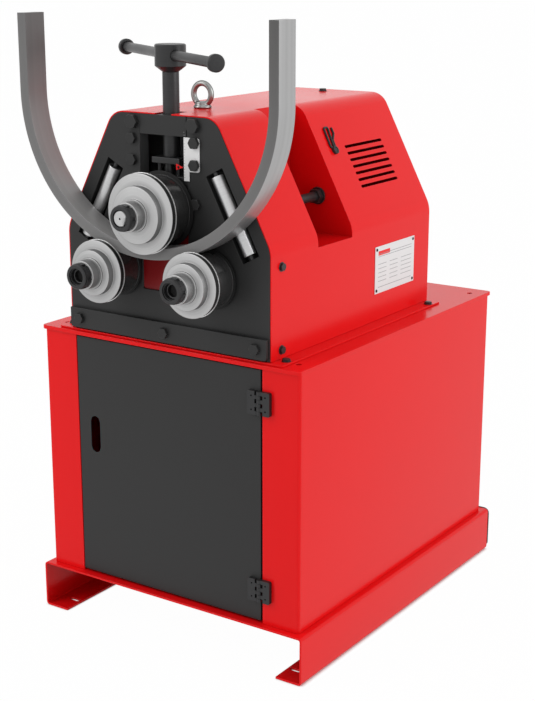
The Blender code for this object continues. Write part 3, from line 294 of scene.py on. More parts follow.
def coatMaterial(name):
    look = coats[name]
    material, tree, shader = newMaterial(name)
    spot = addNode(tree, "ShaderNodeTexCoord").outputs["Object"]
    roughLow, roughHigh = look["rough"]
    grain = useGroup(tree, surfaceGrain, {"Place": spot, "Rough Low": roughLow, "Rough High": roughHigh})
    # The edge colour is partly worn paint, partly a painted highlight
    wearAndGlint = useGroup(tree, edgeWear, {"Place": spot, "Amount": look["edgeAmount"]})
    film = mixColours(tree, grain["Drift"], look["shade"], look["colour"])
    film = mixColours(tree, wearAndGlint["Edge"], film, look["edge"])
    # Painted shade in the coat's corners and recesses
    if "cornerShade" in look:
        reach, amount = look["cornerShade"]
        corner = useGroup(tree, paintedCornerShade, {"Reach": reach, "Amount": amount})
        film = mixColours(tree, corner["Clean"], 0.0, film)
    feed(tree, shader, {"Base Color": film, "Roughness": grain["Roughness"]})
    feed(tree, shader, {"Specular IOR Level": look["specular"]})
    bumpFrom(tree, grain["Peel"], look["peel"], 0.0004, shader)
    return material


# Bare and blackened metal. marks is how its tool left it, read from the piece's own UV map;
# the rim share is how far painted shade darkens it where it turns away from the eye,
# and edge how far a painted highlight brightens its edges
steels = {
    "turnedSteel": {
        "colour": 0.54,
        "shade": 0.49,
        "rough": (0.36, 0.44),
        "metal": 0.4,
        "marks": 0.12,
        "rim": 0.62,
        "edge": 0.9,
        "cornerShade": 0.6,
    },
    # Painted shade: a darker copy of turned steel for the rolls' side walls, which face away from the light
    "shadedTurnedSteel": {
        "colour": 0.27,
        "shade": 0.24,
        "rough": (0.36, 0.44),
        "metal": 0.4,
        "marks": 0.12,
        "rim": 0.35,
        "cornerShade": 0.35,
    },
    "brightRing": {
        "colour": 0.8,
        "shade": 0.7,
        "rough": (0.29, 0.36),
        "metal": 0.8,
        "marks": 0.08,
        "rim": 0.2,
    },
    "drumOxide": {
        "colour": (0.125, 0.124, 0.124),
        "shade": 0.095,
        "rough": (0.2, 0.26),
        "metal": 0.8,
        "marks": 0.06,
    },
    "deepOxide": {
        "colour": 0.012,
        "shade": 0.009,
        "rough": (0.46, 0.56),
        "specular": 0.2,
        "marks": 0.06,
    },
    # Painted light: a lighter steel for the window's side walls
    "litWindowSteel": {
        "colour": (0.115, 0.115, 0.116),
        "shade": (0.09, 0.09, 0.091),
        "rough": (0.36, 0.46),
        "metal": 0.3,
    },
    "oxideSteel": {
        "colour": (0.028, 0.028, 0.029),
        "shade": (0.02, 0.02, 0.021),
        "rough": (0.34, 0.46),
        "metal": 0.35,
        "marks": 0.1,
        "edge": 0.25,
    },
    "rodSteel": {
        "colour": (0.085, 0.085, 0.087),
        "shade": (0.068, 0.068, 0.07),
        "rough": (0.36, 0.46),
        "metal": 0.5,
        "marks": 0.1,
        "rim": 0.3,
        "edge": 0.2,
    },
    "polishedSteel": {
        "colour": (0.6, 0.6, 0.605),
        "shade": (0.53, 0.53, 0.535),
        "rough": (0.28, 0.36),
        "metal": 0.8,
        "marks": 0.05,
        "rim": 0.85,
        "edge": 0.3,
    },
    "castIron": {
        "colour": (0.2, 0.205, 0.21),
        "shade": (0.14, 0.145, 0.15),
        "rough": (0.5, 0.66),
        "metal": 0.4,
    },
    "zincPlate": {
        "colour": (0.4, 0.41, 0.4),
        "shade": (0.3, 0.31, 0.3),
        "rough": (0.29, 0.38),
        "metal": 0.9,
        "rim": 0.7,
    },
    "palePlate": {
        "colour": (0.76, 0.755, 0.755),
        "shade": (0.7, 0.695, 0.695),
        "rough": (0.34, 0.44),
        "metal": 0.2,
    },
    "ruledInk": {
        "colour": (0.3, 0.3, 0.31),
        "shade": (0.25, 0.25, 0.26),
        "rough": (0.5, 0.6),
    },
}


def steelMaterial(name):
    look = steels[name]
    material, tree, shader = newMaterial(name)
    spot = addNode(tree, "ShaderNodeTexCoord").outputs
    roughLow, roughHigh = look["rough"]
    inputs = {"Place": spot["Object"], "Peel Scale": 500.0, "Drift Scale": 14.0}
    grain = useGroup(tree, surfaceGrain, {**inputs, "Rough Low": roughLow, "Rough High": roughHigh})
    tone = grain["Drift"]
    height = grain["Peel"]
    if "marks" in look:
        mapped = splitXYZ(tree, spot["UV"])
        marked = useGroup(tree, toolMarks, {"Across": mapped["Y"], "Along": mapped["X"]})
        tone = spread(tree, marked["Bands"], 0.3, 0.7)
        height = marked["Marks"]
    body = mixColours(tree, tone, look["shade"], look["colour"])
    # Painted shade where the surface turns away from the eye
    if "rim" in look:
        facing = addNode(tree, "ShaderNodeLayerWeight").outputs["Facing"]
        dark = scaleColour(look["shade"], 1 - look["rim"])
        body = mixColours(tree, spread(tree, facing, 0.25, 0.60), body, dark)
    # Painted highlight along the convex edges, with a little wear
    if "edge" in look:
        wearAndGlint = useGroup(tree, edgeWear, {"Place": spot["Object"], "Reach": 0.0009, "Amount": look["edge"]})
        body = mixColours(tree, wearAndGlint["Edge"], body, scaleColour(look["colour"], 1.7))
    # Painted shade in the steel's corners and recesses
    if "cornerShade" in look:
        corner = useGroup(tree, paintedCornerShade, {"Amount": look["cornerShade"]})
        body = mixColours(tree, corner["Clean"], 0.0, body)
    feed(tree, shader, {"Base Color": body, "Roughness": grain["Roughness"]})
    feed(tree, shader, {"Metallic": look.get("metal", 0), "Specular IOR Level": look.get("specular", 0.5)})
    bumpFrom(tree, height, max(look.get("marks", 0), 0.06), 0.0002, shader)
    return material


# The bar is drawn: its streaks run with the bend and up the legs.
# Its tones carry painted light and shade: the outer side is painted lightest, the face and the inner side
# are lighter at the foot and shaded towards the top, and the face's top is lighter on the left leg
touch = 0.0003
barLow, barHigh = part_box("bent_bar")
barCut = {
    "thickness": 0.0200,
    "corner": 0.0010,
    "bendSteps": 160,
    "faceLitFoot": (0.180, 0.177, 0.176),
    "faceShadedTop": (0.092, 0.090, 0.089),
    "faceLitTopLeft": (0.140, 0.137, 0.136),
    "outer": 0.40,
    "innerFoot": (0.350, 0.343, 0.341),
    "innerTop": (0.115, 0.111, 0.110),
    "innerSpan": (0.30, 0.85),
    "shade": 0.88,
    "pitch": 700.0,
}
barOuter = (barHigh.x - barLow.x) / 2
barCentreZ = barLow.z + barOuter


def barMaterial():
    material, tree, shader = newMaterial("drawnBar")
    spot = splitXYZ(tree, addNode(tree, "ShaderNodeTexCoord").outputs["Object"])
    below = mathNode(tree, "MINIMUM", mathNode(tree, "SUBTRACT", spot["Z"], barCentreZ), 0.0)
    squares = [mathNode(tree, "MULTIPLY", side, side) for side in (spot["X"], below)]
    reach = mathNode(tree, "SQRT", mathNode(tree, "ADD", *squares))
    across = mathNode(tree, "ADD", reach, spot["Y"])
    along = mathNode(tree, "MULTIPLY", spot["Z"], 0.3)
    drawn = {"Across": across, "Along": along, "Pitch": barCut["pitch"], "Waver": 1.5}
    marked = useGroup(tree, toolMarks, drawn)
    normal = splitXYZ(tree, addNode(tree, "ShaderNodeNewGeometry").outputs["True Normal"])
    sheared = spread(tree, mathNode(tree, "ABSOLUTE", normal["Y"]), 0.6, 0.8)
    middle = barOuter - barCut["thickness"] / 2
    outside = spread(tree, reach, middle - touch, middle + touch)
    # Painted light and shade: lighter at the foot, shaded towards the top, and different on each side
    rise = spread(tree, spot["Z"], barLow.z, barHigh.z)
    climb = spread(tree, rise, *barCut["innerSpan"])
    inside = mixColours(tree, climb, barCut["innerFoot"], barCut["innerTop"])
    leftward = spread(tree, spot["X"], touch, -touch)
    top = mixColours(tree, leftward, barCut["faceShadedTop"], barCut["faceLitTopLeft"])
    face = mixColours(tree, rise, barCut["faceLitFoot"], top)
    paintedLightTone = mixColours(tree, sheared, mixColours(tree, outside, inside, barCut["outer"]), face)
    streaks = mixColours(tree, spread(tree, marked["Bands"], 0.3, 0.7), barCut["shade"], 1.0)
    gloss = spread(tree, outside, 0.0, 1.0, 0.10, 0.80)
    feed(tree, shader, {"Base Color": mixColours(tree, 1.0, paintedLightTone, streaks, "MULTIPLY")})
    feed(tree, shader, {"Roughness": spread(tree, sheared, 0.0, 1.0, 0.36, 0.46)})
    feed(tree, shader, {"Metallic": spread(tree, sheared, 0.0, 1.0, gloss, 0.20)})
    bumpFrom(tree, marked["Marks"], 0.04, 0.0001, shader)
    return material


finishes = {name: coatMaterial(name) for name in coats}
finishes.update({name: steelMaterial(name) for name in steels})
finishes["drawnBar"] = barMaterial()
print("materials made:", len(finishes))


# Mesh helpers
def newPiece(name, bm, finish, sharpAngle=40):
    bmesh.ops.recalc_face_normals(bm, faces=bm.faces)
    mesh = bpy.data.meshes.new(name)
    bm.to_mesh(mesh)
    bm.free()
    mesh.shade_smooth()
    if sharpAngle < 180:
        mesh.set_sharp_from_angle(angle=math.radians(sharpAngle))
    mesh.materials.append(finishes[finish])
    return putInScene(name, mesh)


# Points, or a string of them, for a tree to work on
def newPoints(name, points, strung=False):
    mesh = bpy.data.meshes.new(name)
    mesh.from_pydata(points, [(i, i + 1) for i in range(len(points) - 1)] if strung else [], [])
    return putInScene(name, mesh)


def settle(piece):
    graph = bpy.context.evaluated_depsgraph_get()
    settled = bpy.data.meshes.new_from_object(piece.evaluated_get(graph))
    piece.modifiers.clear()
    piece.data = settled
    return piece


def carve(piece, tools, operation="DIFFERENCE"):
    for tool in tools:
        step = piece.modifiers.new(tool.name, "BOOLEAN")
        step.operation = operation
        step.solver = "EXACT"
        step.object = tool
    settle(piece)
    for tool in tools:
        bpy.data.objects.remove(tool)
    return piece


def easeEdges(piece, width, steps=2, angle=30):
    bevel = piece.modifiers.new("easedEdges", "BEVEL")
    bevel.width = width
    bevel.segments = steps
    bevel.limit_method = "ANGLE"
    bevel.angle_limit = math.radians(angle)
    bevel.use_clamp_overlap = False
    bevel.harden_normals = True
    piece.modifiers.new("evenShading", "WEIGHTED_NORMAL").keep_sharp = True
    return settle(piece)


def fit(piece, *standsFor, on=None, slot=None):
    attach(piece, on or bodyOf[standsFor[0]])
    if standsFor:
        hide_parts(*standsFor)
    return piece


def pieceName(nodeName):
    words = nodeName.split("_")
    return words[0] + "".join(word.capitalize() for word in words[1:])


def shareFinish(piece, finish, chosen):
    piece.data.materials.append(finishes[finish])
    added = len(piece.data.materials) - 1
    for face in piece.data.polygons:
        if chosen(face):
            face.material_index = added
    return piece


def plainCopy(nodeName, finish):
    bm = bmesh.new()
    bm.from_mesh(frame["nodes"][nodeName].data)
    bmesh.ops.remove_doubles(bm, verts=bm.verts, dist=0.00001)
    bmesh.ops.dissolve_limit(bm, angle_limit=math.radians(0.5), verts=bm.verts, edges=bm.edges)
    return newPiece(pieceName(nodeName), bm, finish, 180)


def dressedCopy(nodeName, finish, edge):
    return fit(easeEdges(plainCopy(nodeName, finish), edge), nodeName)


def easedProfile(points, bend, closed, steps=3):
    made = []
    count = len(points)
    if bend <= 0:
        return [Vector(point) for point in points]
    for i, point in enumerate(points):
        here = Vector(point)
        if not closed and i in (0, count - 1):
            made.append(here)
            continue
        before = Vector(points[i - 1]) - here
        after = Vector(points[(i + 1) % count]) - here
        half = before.angle(after) / 2
        if half > math.radians(88):
            made.append(here)
            continue
        reach = min(bend / math.tan(half), min(before.length, after.length) * 0.45)
        middle = here + (before.normalized() + after.normalized()).normalized() * reach / math.cos(half)
        start = here + before.normalized() * reach - middle
        end = here + after.normalized() * reach - middle
        sweep = start.angle_signed(end)
        for k in range(steps + 1):
            made.append(middle + Matrix.Rotation(-sweep * k / steps, 2) @ start)
    return made


# A piece turned about its own Z, then placed. U of its map goes round, V is the way along the profile
def lathe(name, profile, place, finish, bend=0.0004, turns=96):
    ringed = profile[0][0] > 0
    spots = easedProfile(profile, bend, ringed)
    if ringed:
        spots.append(spots[0])
    bm = bmesh.new()
    mapped = bm.loops.layers.uv.new("UVMap")
    rings = []
    for spot in spots[: len(spots) - ringed]:
        if spot.x <= 0:
            rings.append([bm.verts.new((0, 0, spot.y))])
            continue
        angles = [math.tau * k / turns for k in range(turns)]
        rings.append([bm.verts.new((spot.x * math.cos(a), spot.x * math.sin(a), spot.y)) for a in angles])
    if ringed:
        rings.append(rings[0])
    travel = 0.0
    for i in range(1, len(spots)):
        further = travel + (spots[i] - spots[i - 1]).length
        for k in range(turns):
            corners = []
            for ring, u, v in (
                (rings[i - 1], k, travel),
                (rings[i - 1], k + 1, travel),
                (rings[i], k + 1, further),
                (rings[i], k, further),
            ):
                vert = ring[u % turns] if len(ring) > 1 else ring[0]
                if vert not in [corner[0] for corner in corners]:
                    corners.append((vert, u / turns, v))
            face = bm.faces.new([corner[0] for corner in corners])
            for loop, corner in zip(face.loops, corners):
                loop[mapped].uv = corner[1:]
        travel = further
    bm.transform(place)
    return newPiece(name, bm, finish)


def tube(outer, bore, low, high):
    return [(outer, high), (outer, low), (bore, low), (bore, high)]


def solidRod(radius, low, high):
    return [(0, high), (radius, high), (radius, low), (0, low)]


def forwardAxis(x, y, z):
    return Matrix.Translation((x, y, z)) @ Matrix.Rotation(math.radians(90), 4, "X")


def block(name, low, high, finish="oxideSteel", turn=None):
    bm = bmesh.new()
    bmesh.ops.create_cube(bm, size=1)
    size = Vector(high) - Vector(low)
    middle = (Vector(high) + Vector(low)) / 2
    bm.transform(Matrix.Translation(middle) @ Matrix.Diagonal((*size, 1)))
    if turn is not None:
        bm.transform(turn)
    return newPiece(name, bm, finish)


# Geometry Nodes helpers
def newGeometryTree(name, inputs):
    tree = bpy.data.node_groups.new(name, "GeometryNodeTree")
    for label, kind in inputs.items():
        tree.interface.new_socket(label, in_out="INPUT", socket_type="NodeSocket" + kind)
    tree.interface.new_socket("Made", in_out="OUTPUT", socket_type="NodeSocketGeometry")
    return tree, addNode(tree, "NodeGroupInput").outputs, addNode(tree, "NodeGroupOutput")


def closeTree(tree, given, end, instances):
    real = addNode(tree, "GeometryNodeRealizeInstances", {"Geometry": instances})
    inputs = {"Geometry": real.outputs["Geometry"], "Material": given["Finish"]}
    painted = addNode(tree, "GeometryNodeSetMaterial", inputs)
    feed(tree, end, {"Made": painted.outputs["Geometry"]})
    return tree


def roundOff(tree, curve, count, radius):
    inputs = {"Curve": curve, "Count": count, "Radius": radius}
    return addNode(tree, "GeometryNodeFilletCurve", inputs, mode="POLY").outputs["Curve"]


def sweep(tree, path, section):
    inputs = {"Curve": path, "Profile Curve": section, "Fill Caps": True}
    return addNode(tree, "GeometryNodeCurveToMesh", inputs).outputs["Mesh"]


def pathOf(tree, points):
    return addNode(tree, "GeometryNodeMeshToCurve", {"Mesh": points}).outputs["Curve"]


def runTree(piece, tree, values):
    step = piece.modifiers.new(tree.name, "NODES")
    step.node_group = tree
    for item in tree.interface.items_tree:
        if item.in_out == "INPUT" and item.name in values:
            step[item.identifier] = values[item.name]
    return settle(piece)


# Fasteners set out on points that carry the way they face and their turn about it
def makeFastenerTree():
    kinds = {"Places": "Geometry", "Fastener": "Object", "Size": "Float", "Finish": "Material"}
    tree, given, end = newGeometryTree("setOutFasteners", kinds)
    carried = {}
    for label, kind in (("facing", "FLOAT_VECTOR"), ("turned", "FLOAT")):
        named = addNode(tree, "GeometryNodeInputNamedAttribute", {"Name": label}, data_type=kind)
        carried[label] = named.outputs["Attribute"]
    aimed = addNode(tree, "FunctionNodeAlignRotationToVector", {"Vector": carried["facing"]}, axis="Z")
    spin = addNode(tree, "FunctionNodeAxisAngleToRotation", {"Axis": (0, 0, 1), "Angle": carried["turned"]})
    turns = {"Rotation": aimed.outputs["Rotation"], "Rotate By": spin.outputs["Rotation"]}
    both = addNode(tree, "FunctionNodeRotateRotation", turns, rotation_space="LOCAL")
    source = addNode(tree, "GeometryNodeObjectInfo", {"Object": given["Fastener"]})
    inputs = {
        "Points": given["Places"],
        "Instance": source.outputs["Geometry"],
        "Rotation": both.outputs["Rotation"],
        "Scale": given["Size"],
    }
    spots = addNode(tree, "GeometryNodeInstanceOnPoints", inputs)
    return closeTree(tree, given, end, spots.outputs["Instances"])


fastenerTree = makeFastenerTree()


def setOut(name, pattern, places, size, finish):
    piece = newPoints(name, [place[0] for place in places])
    attributes = piece.data.attributes
    attributes.new("facing", "FLOAT_VECTOR", "POINT")
    attributes.new("turned", "FLOAT", "POINT")
    for i, (_, way, spin) in enumerate(places):
        attributes["facing"].data[i].vector = way
        attributes["turned"].data[i].value = math.radians(spin)
    return runTree(piece, fastenerTree, {"Fastener": pattern, "Size": size, "Finish": finishes[finish]})


def stackRings(bm, rings):
    stack = [[bm.verts.new(spot) for spot in ring] for ring in rings]
    for low, high in zip(stack, stack[1:]):
        for k in range(len(low)):
            bm.faces.new((low[k - 1], low[k], high[k], high[k - 1]))
    bm.faces.new(stack[-1])
    bm.faces.new(stack[0][::-1])


# Hex head on a unit radius: its top is turned, so the chamfer leaves arcs on the flats
def hexHead(height, washer=0.0):
    bm = bmesh.new()
    steps = 36
    angles = [math.tau * k / steps for k in range(steps)]
    flat = math.cos(math.radians(30))
    topRadius = flat * 0.985
    rings = [[], [], [], []]
    for angle in angles:
        reach = flat / math.cos((angle % math.radians(60)) - math.radians(30))
        drop = (reach - topRadius) * math.tan(math.radians(25))
        levels = ((reach, washer), (reach, height - drop), (topRadius, height), (topRadius * 0.5, height))
        for ring, (radius, z) in zip(rings, levels):
            ring.append((radius * math.cos(angle), radius * math.sin(angle), z))
    stackRings(bm, rings)
    if washer > 0:
        collar = ((1.12, 0), (1.16, washer * 0.3), (1.16, washer * 0.8), (1.10, washer))
        stackRings(bm, [[(r * math.cos(a), r * math.sin(a), z) for a in angles] for r, z in collar])
    return newPiece("hexPattern", bm, "oxideSteel", 22)


def domeHead(height):
    bend = [(math.cos(math.radians(a)), height * math.sin(math.radians(a))) for a in (20, 40, 60, 75)]
    profile = [(0, 0), (1, 0), *bend, (0, height)]
    return lathe("domePattern", profile, Matrix.Identity(4), "oxideSteel", 0.02, 20)


hexPattern = hexHead(0.62)
washerPattern = hexHead(0.70, 0.14)
domePattern = domeHead(0.55)
print("helpers and patterns made")

# Rolls: each a face disc with a stepped collar, a bright ring, a dark band between, a drum, a nut and a shaft
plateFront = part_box("front_plate")[0].y
rollCut = {
    "ringWidth": 0.0017,
    "ringProud": 0.0005,
    "bandWidth": 0.0083,
    "bandDepth": 0.0008,
    "discWidth": 0.0022,
    "stepWidth": 0.0140,
    "stepRadius": {"upper": 0.0512, "left": 0.0419, "right": 0.0419},
    "rootRadius": 0.0289,
    "rootWidth": 0.0040,
    "rootGroove": 0.0026,
    "faceEase": 0.0010,
    "collarRadius": 0.0265,
    "bore": 0.0203,
    "flangeRise": {"upper": 0.0075, "left": 0.0049, "right": 0.0049},
    "flangeWidth": 0.0020,
    "bossRadius": 0.0290,
    "nutFront": 0.0226,
    "nutNose": 0.0060,
    "nutMouth": 0.0160,
    "nutMouthDepth": 0.0035,
    "nutNotches": 6,
    "nutNotchWidth": 0.0060,
    "nutNotchDepth": 0.0030,
    "threadRadius": 0.0140,
    "flatDepth": 0.0034,
    "flatLength": 0.0060,
    "flatTurn": -20.0,
    "shaftDish": {"upper": 0.0019, "left": 0.0108, "right": 0.0108},
    "dishDepth": 0.0070,
    "shaftFinish": {"upper": "turnedSteel", "left": "deepOxide", "right": "deepOxide"},
    "lipRadius": 0.0112,
    "lipRise": 0.0012,
    "ringEase": 0.0003,
    "drumEase": 0.0005,
    "nutEase": 0.0004,
    "notchEase": 0.0002,
    "shaftEase": 0.0001,
    "lipEase": 0.0004,
}


def rollSpan(node):
    low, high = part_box(node)
    return plateFront - high.y, plateFront - low.y, (high.z - low.z) / 2


def makeRollFace(word, place):
    cut = rollCut
    back, front, ring = rollSpan(word + "_roll_face")
    disc = ring - cut["ringProud"]
    band = disc - cut["bandDepth"]
    bore = cut["bore"]
    ringTop = back + cut["ringWidth"]
    bandTop = ringTop + cut["bandWidth"]
    discTop = bandTop + cut["discWidth"]
    stepTop = discTop + cut["stepWidth"]
    rootTop = stepTop + cut["rootWidth"]
    step = cut["stepRadius"][word]
    root = cut["rootRadius"]
    collar = cut["collarRadius"]
    groove = cut["rootGroove"]
    profile = [
        (collar, front),
        (collar, rootTop + groove),
        (collar - groove, rootTop + groove),
        (collar - groove, rootTop),
        (root, rootTop),
        (root, stepTop),
        (step, stepTop),
        (step, discTop),
        (disc, discTop),
        (disc, bandTop),
        (bore, bandTop),
        (bore, front),
    ]
    face = lathe(word + "RollFace", profile, place, "turnedSteel", cut["faceEase"], turns=128)
    # The side walls take the painted-shade copy of turned steel
    shareFinish(face, "shadedTurnedSteel", lambda face: abs(face.normal.y) < 0.35)
    fit(face, word + "_roll_face")
    profile = tube(band, bore, ringTop, bandTop)
    dark = lathe(word + "RollBand", profile, place, "deepOxide", 0, turns=128)
    fit(dark, on=word + "_roll", slot="dark_steel")
    profile = tube(ring, bore, back, ringTop)
    bright = lathe(word + "RollRing", profile, place, "brightRing", cut["ringEase"], turns=128)
    fit(bright, on=word + "_roll", slot="turned_steel")


def makeRollDrum(word, place):
    back, front, flange = rollSpan(word + "_roll_drum")
    contact = flange - rollCut["flangeRise"][word]
    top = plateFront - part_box("bent_bar")[1].y - touch
    foot = top - rollCut["flangeWidth"]
    boss = rollCut["bossRadius"]
    bore = rollCut["bore"]
    profile = [
        (contact, front),
        (contact, top),
        (flange, top),
        (flange, foot),
        (boss, foot),
        (boss, back),
        (bore, back),
        (bore, front),
    ]
    drum = lathe(word + "RollDrum", profile, place, "drumOxide", rollCut["drumEase"], turns=128)
    inverse = place.inverted()
    shareFinish(drum, "deepOxide", lambda face: (inverse @ face.center).xy.length > contact + touch)
    fit(drum, word + "_roll_drum")


def makeRollNut(word, place):
    cut = rollCut
    back, front, radius = rollSpan(word + "_roll_nut")
    nose = cut["nutFront"]
    thread = cut["threadRadius"]
    mouth = cut["nutMouth"]
    noseFoot = front - cut["nutNose"]
    mouthFoot = front - cut["nutMouthDepth"]
    profile = [
        (nose - touch * 5, front),
        (nose, front - touch * 5),
        (nose, noseFoot),
        (radius, noseFoot),
        (radius, back),
        (thread + touch, back),
        (thread + touch, mouthFoot),
        (mouth, mouthFoot),
        (mouth, front - touch),
        (mouth + touch, front),
    ]
    nut = lathe(word + "RollNut", profile, place, "oxideSteel", cut["nutEase"])
    across = cut["nutNotchWidth"] / 2
    start = (radius - cut["nutNotchDepth"], -across, back - touch * 10)
    notches = []
    for k in range(cut["nutNotches"]):
        turned = place @ Matrix.Rotation(math.tau * k / cut["nutNotches"], 4, "Z")
        notches.append(block("notch", start, (radius * 1.2, across, noseFoot), turn=turned))
    carve(nut, notches)
    fit(easeEdges(nut, cut["notchEase"], 1, 35), word + "_roll_nut")


def makeRollShaft(word, place):
    cut = rollCut
    back, front, radius = rollSpan(word + "_roll_shaft")
    faceFront = rollSpan(word + "_roll_face")[1]
    thread = cut["threadRadius"]
    dish = cut["shaftDish"][word]
    profile = [
        (0, front - cut["dishDepth"]),
        (dish, front - cut["dishDepth"] + touch),
        (dish, front),
        (thread - touch * 5, front),
        (thread, front - touch * 5),
        (thread, faceFront - touch),
        (radius, faceFront - touch),
        (radius, back),
        (0, back),
    ]
    finish = cut["shaftFinish"][word]
    shaft = lathe(word + "RollShaft", profile, place, finish, cut["shaftEase"], turns=64)
    if word == "upper":
        turned = place @ Matrix.Rotation(math.radians(cut["flatTurn"]), 4, "Z")
        start = (thread - cut["flatDepth"], -thread, front - cut["flatLength"])
        carve(shaft, [block("flat", start, (thread * 1.2, thread, front + touch * 5), turn=turned)])
    fit(shaft, word + "_roll_shaft")
    if word != "upper":
        profile = tube(thread - touch, cut["lipRadius"], front - touch, front + cut["lipRise"])
        lip = lathe(word + "ShaftLip", profile, place, "rodSteel", cut["lipEase"], turns=64)
        fit(lip, on=word + "_roll", slot="dark_steel")


for word in ("upper", "left", "right"):
    low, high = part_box(word + "_roll_face")
    place = forwardAxis((low.x + high.x) / 2, plateFront, (low.z + high.z) / 2)
    makeRollFace(word, place)
    makeRollDrum(word, place)
    makeRollNut(word, place)
    makeRollShaft(word, place)
print("rolls turned")

# Guide rollers lean with their pockets and turn on plain pins
guideCut = {
    "tilt": 28.0,
    "radius": 0.0127,
    "bore": 0.0053,
    "ease": 0.0010,
    "pinRadius": 0.0050,
    "pinEase": 0.0005,
}


def leaningReach(node, radius, tilt):
    low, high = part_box(node)
    return ((high.z - low.z) / 2 - radius * math.sin(tilt)) / math.cos(tilt)


for word, side in (("left", -1), ("right", 1)):
    low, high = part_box(word + "_guide_roller")
    tilt = math.radians(guideCut["tilt"])
    place = Matrix.Translation((low + high) / 2) @ Matrix.Rotation(-side * tilt, 4, "Y")
    radius = guideCut["radius"]
    reach = leaningReach(word + "_guide_roller", radius, tilt)
    profile = tube(radius, guideCut["bore"], -reach, reach)
    roller = lathe(word + "GuideRoller", profile, place, "polishedSteel", guideCut["ease"], turns=64)
    fit(roller, word + "_guide_roller")
    radius = guideCut["pinRadius"]
    reach = leaningReach(word + "_guide_pin", radius, tilt)
    profile = solidRod(radius, -reach, reach)
    pin = lathe(word + "GuidePin", profile, place, "oxideSteel", guideCut["pinEase"], turns=24)
    fit(pin, word + "_guide_pin")
print("guide rollers turned")


# Bent bar: a rounded rectangle swept along the legs and the bend
def makeBarTree():
    floats = dict.fromkeys(("Width", "Thickness", "Corner"), "Float")
    tree, given, end = newGeometryTree("sweptBar", {"Path": "Geometry", **floats, "Finish": "Material"})
    sides = {"Width": given["Thickness"], "Height": given["Width"]}
    section = addNode(tree, "GeometryNodeCurvePrimitiveQuadrilateral", sides, mode="RECTANGLE")
    eased = roundOff(tree, section.outputs["Curve"], 3, given["Corner"])
    return closeTree(tree, given, end, sweep(tree, pathOf(tree, given["Path"]), eased))


def makeBar():
    middle = (barLow.y + barHigh.y) / 2
    reach = barOuter - barCut["thickness"] / 2
    points = [(-reach, middle, barHigh.z)]
    for k in range(barCut["bendSteps"] + 1):
        angle = math.pi + math.pi * k / barCut["bendSteps"]
        points.append((reach * math.cos(angle), middle, barCentreZ + reach * math.sin(angle)))
    points.append((reach, middle, barHigh.z))
    values = {
        "Width": barHigh.y - barLow.y,
        "Thickness": barCut["thickness"],
        "Corner": barCut["corner"],
        "Finish": finishes["drawnBar"],
    }
    piece = runTree(newPoints("bentBar", points, True), makeBarTree(), values)
    piece.data.shade_smooth()
    piece.data.set_sharp_from_angle(angle=math.radians(20))
    fit(piece, "bent_bar")


makeBar()
print("bar swept")

# Screw and T handle
handleCut = {
    "screwRadius": 0.0150,
    "stubRadius": 0.0100,
    "stubLength": 0.0170,
    "hubShoulder": 0.0100,
    "hubChamfer": 0.0020,
    "rodRise": 0.0290,
    "rodAngle": -33.0,
    "rodRadius": 0.0090,
    "knobRound": 0.0030,
    "knobDepth": 0.0083,
    "rodRoom": 0.0004,
    "ease": 0.0006,
    "boreEase": 0.0005,
    "rodEase": 0.0005,
    "knobEase": 0.0012,
}
hubLow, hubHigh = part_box("handle_hub")
hubMiddle = (hubLow + hubHigh) / 2
hubRadius = (hubHigh.x - hubLow.x) / 2
stubTop = hubLow.z + handleCut["stubLength"]
upright = Matrix.Translation((hubMiddle.x, hubMiddle.y, 0))
across = Matrix.Translation((hubMiddle.x, hubMiddle.y, hubLow.z + handleCut["rodRise"]))
across = across @ Matrix.Rotation(math.radians(90 + handleCut["rodAngle"]), 4, "Z")
across = across @ Matrix.Rotation(math.radians(90), 4, "X")


def makeScrew():
    cut = handleCut
    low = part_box("screw")[0]
    radius = cut["screwRadius"]
    stub = cut["stubRadius"]
    profile = [
        (0, stubTop),
        (stub, stubTop),
        (stub, hubLow.z),
        (radius, hubLow.z - touch),
        (radius, low.z),
        (0, low.z),
    ]
    fit(lathe("screw", profile, upright, "oxideSteel", cut["ease"], turns=64), "screw")


def makeHub():
    cut = handleCut
    seat = cut["stubRadius"] + touch
    profile = [
        (0, hubHigh.z),
        (hubRadius - cut["hubChamfer"], hubHigh.z),
        (hubRadius, hubHigh.z - cut["hubChamfer"]),
        (hubRadius, hubLow.z + cut["hubShoulder"]),
        (cut["screwRadius"], hubLow.z),
        (seat, hubLow.z),
        (seat, stubTop + touch),
        (0, stubTop + touch),
    ]
    hub = lathe("handleHub", profile, upright, "oxideSteel", cut["ease"], turns=72)
    profile = solidRod(cut["rodRadius"] + cut["rodRoom"], -hubRadius * 1.2, hubRadius * 1.2)
    carve(hub, [lathe("rodBore", profile, across, "oxideSteel", 0, turns=48)])
    fit(easeEdges(hub, cut["boreEase"], angle=35), "handle_hub")


def rodSpan(node):
    inverse = across.inverted()
    heights = [(inverse @ v.co).z for v in frame["nodes"][node].data.vertices]
    return min(heights), max(heights)


def makeKnob(node, outward):
    cut = handleCut
    low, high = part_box("front_knob")
    radius = (high.z - low.z) / 2
    bend = cut["knobRound"]
    seat = cut["rodRadius"] + touch
    near, far = sorted((h * outward for h in rodSpan(node)))
    profile = [
        (0, far),
        (radius - bend, far),
        (radius, far - bend),
        (radius, near + bend / 2),
        (radius - bend / 2, near),
        (seat, near),
        (seat, near + cut["knobDepth"]),
        (0, near + cut["knobDepth"]),
    ]
    turned = across if outward > 0 else across @ Matrix.Rotation(math.pi, 4, "X")
    fit(lathe(pieceName(node), profile, turned, "oxideSteel", cut["knobEase"], turns=48), node)


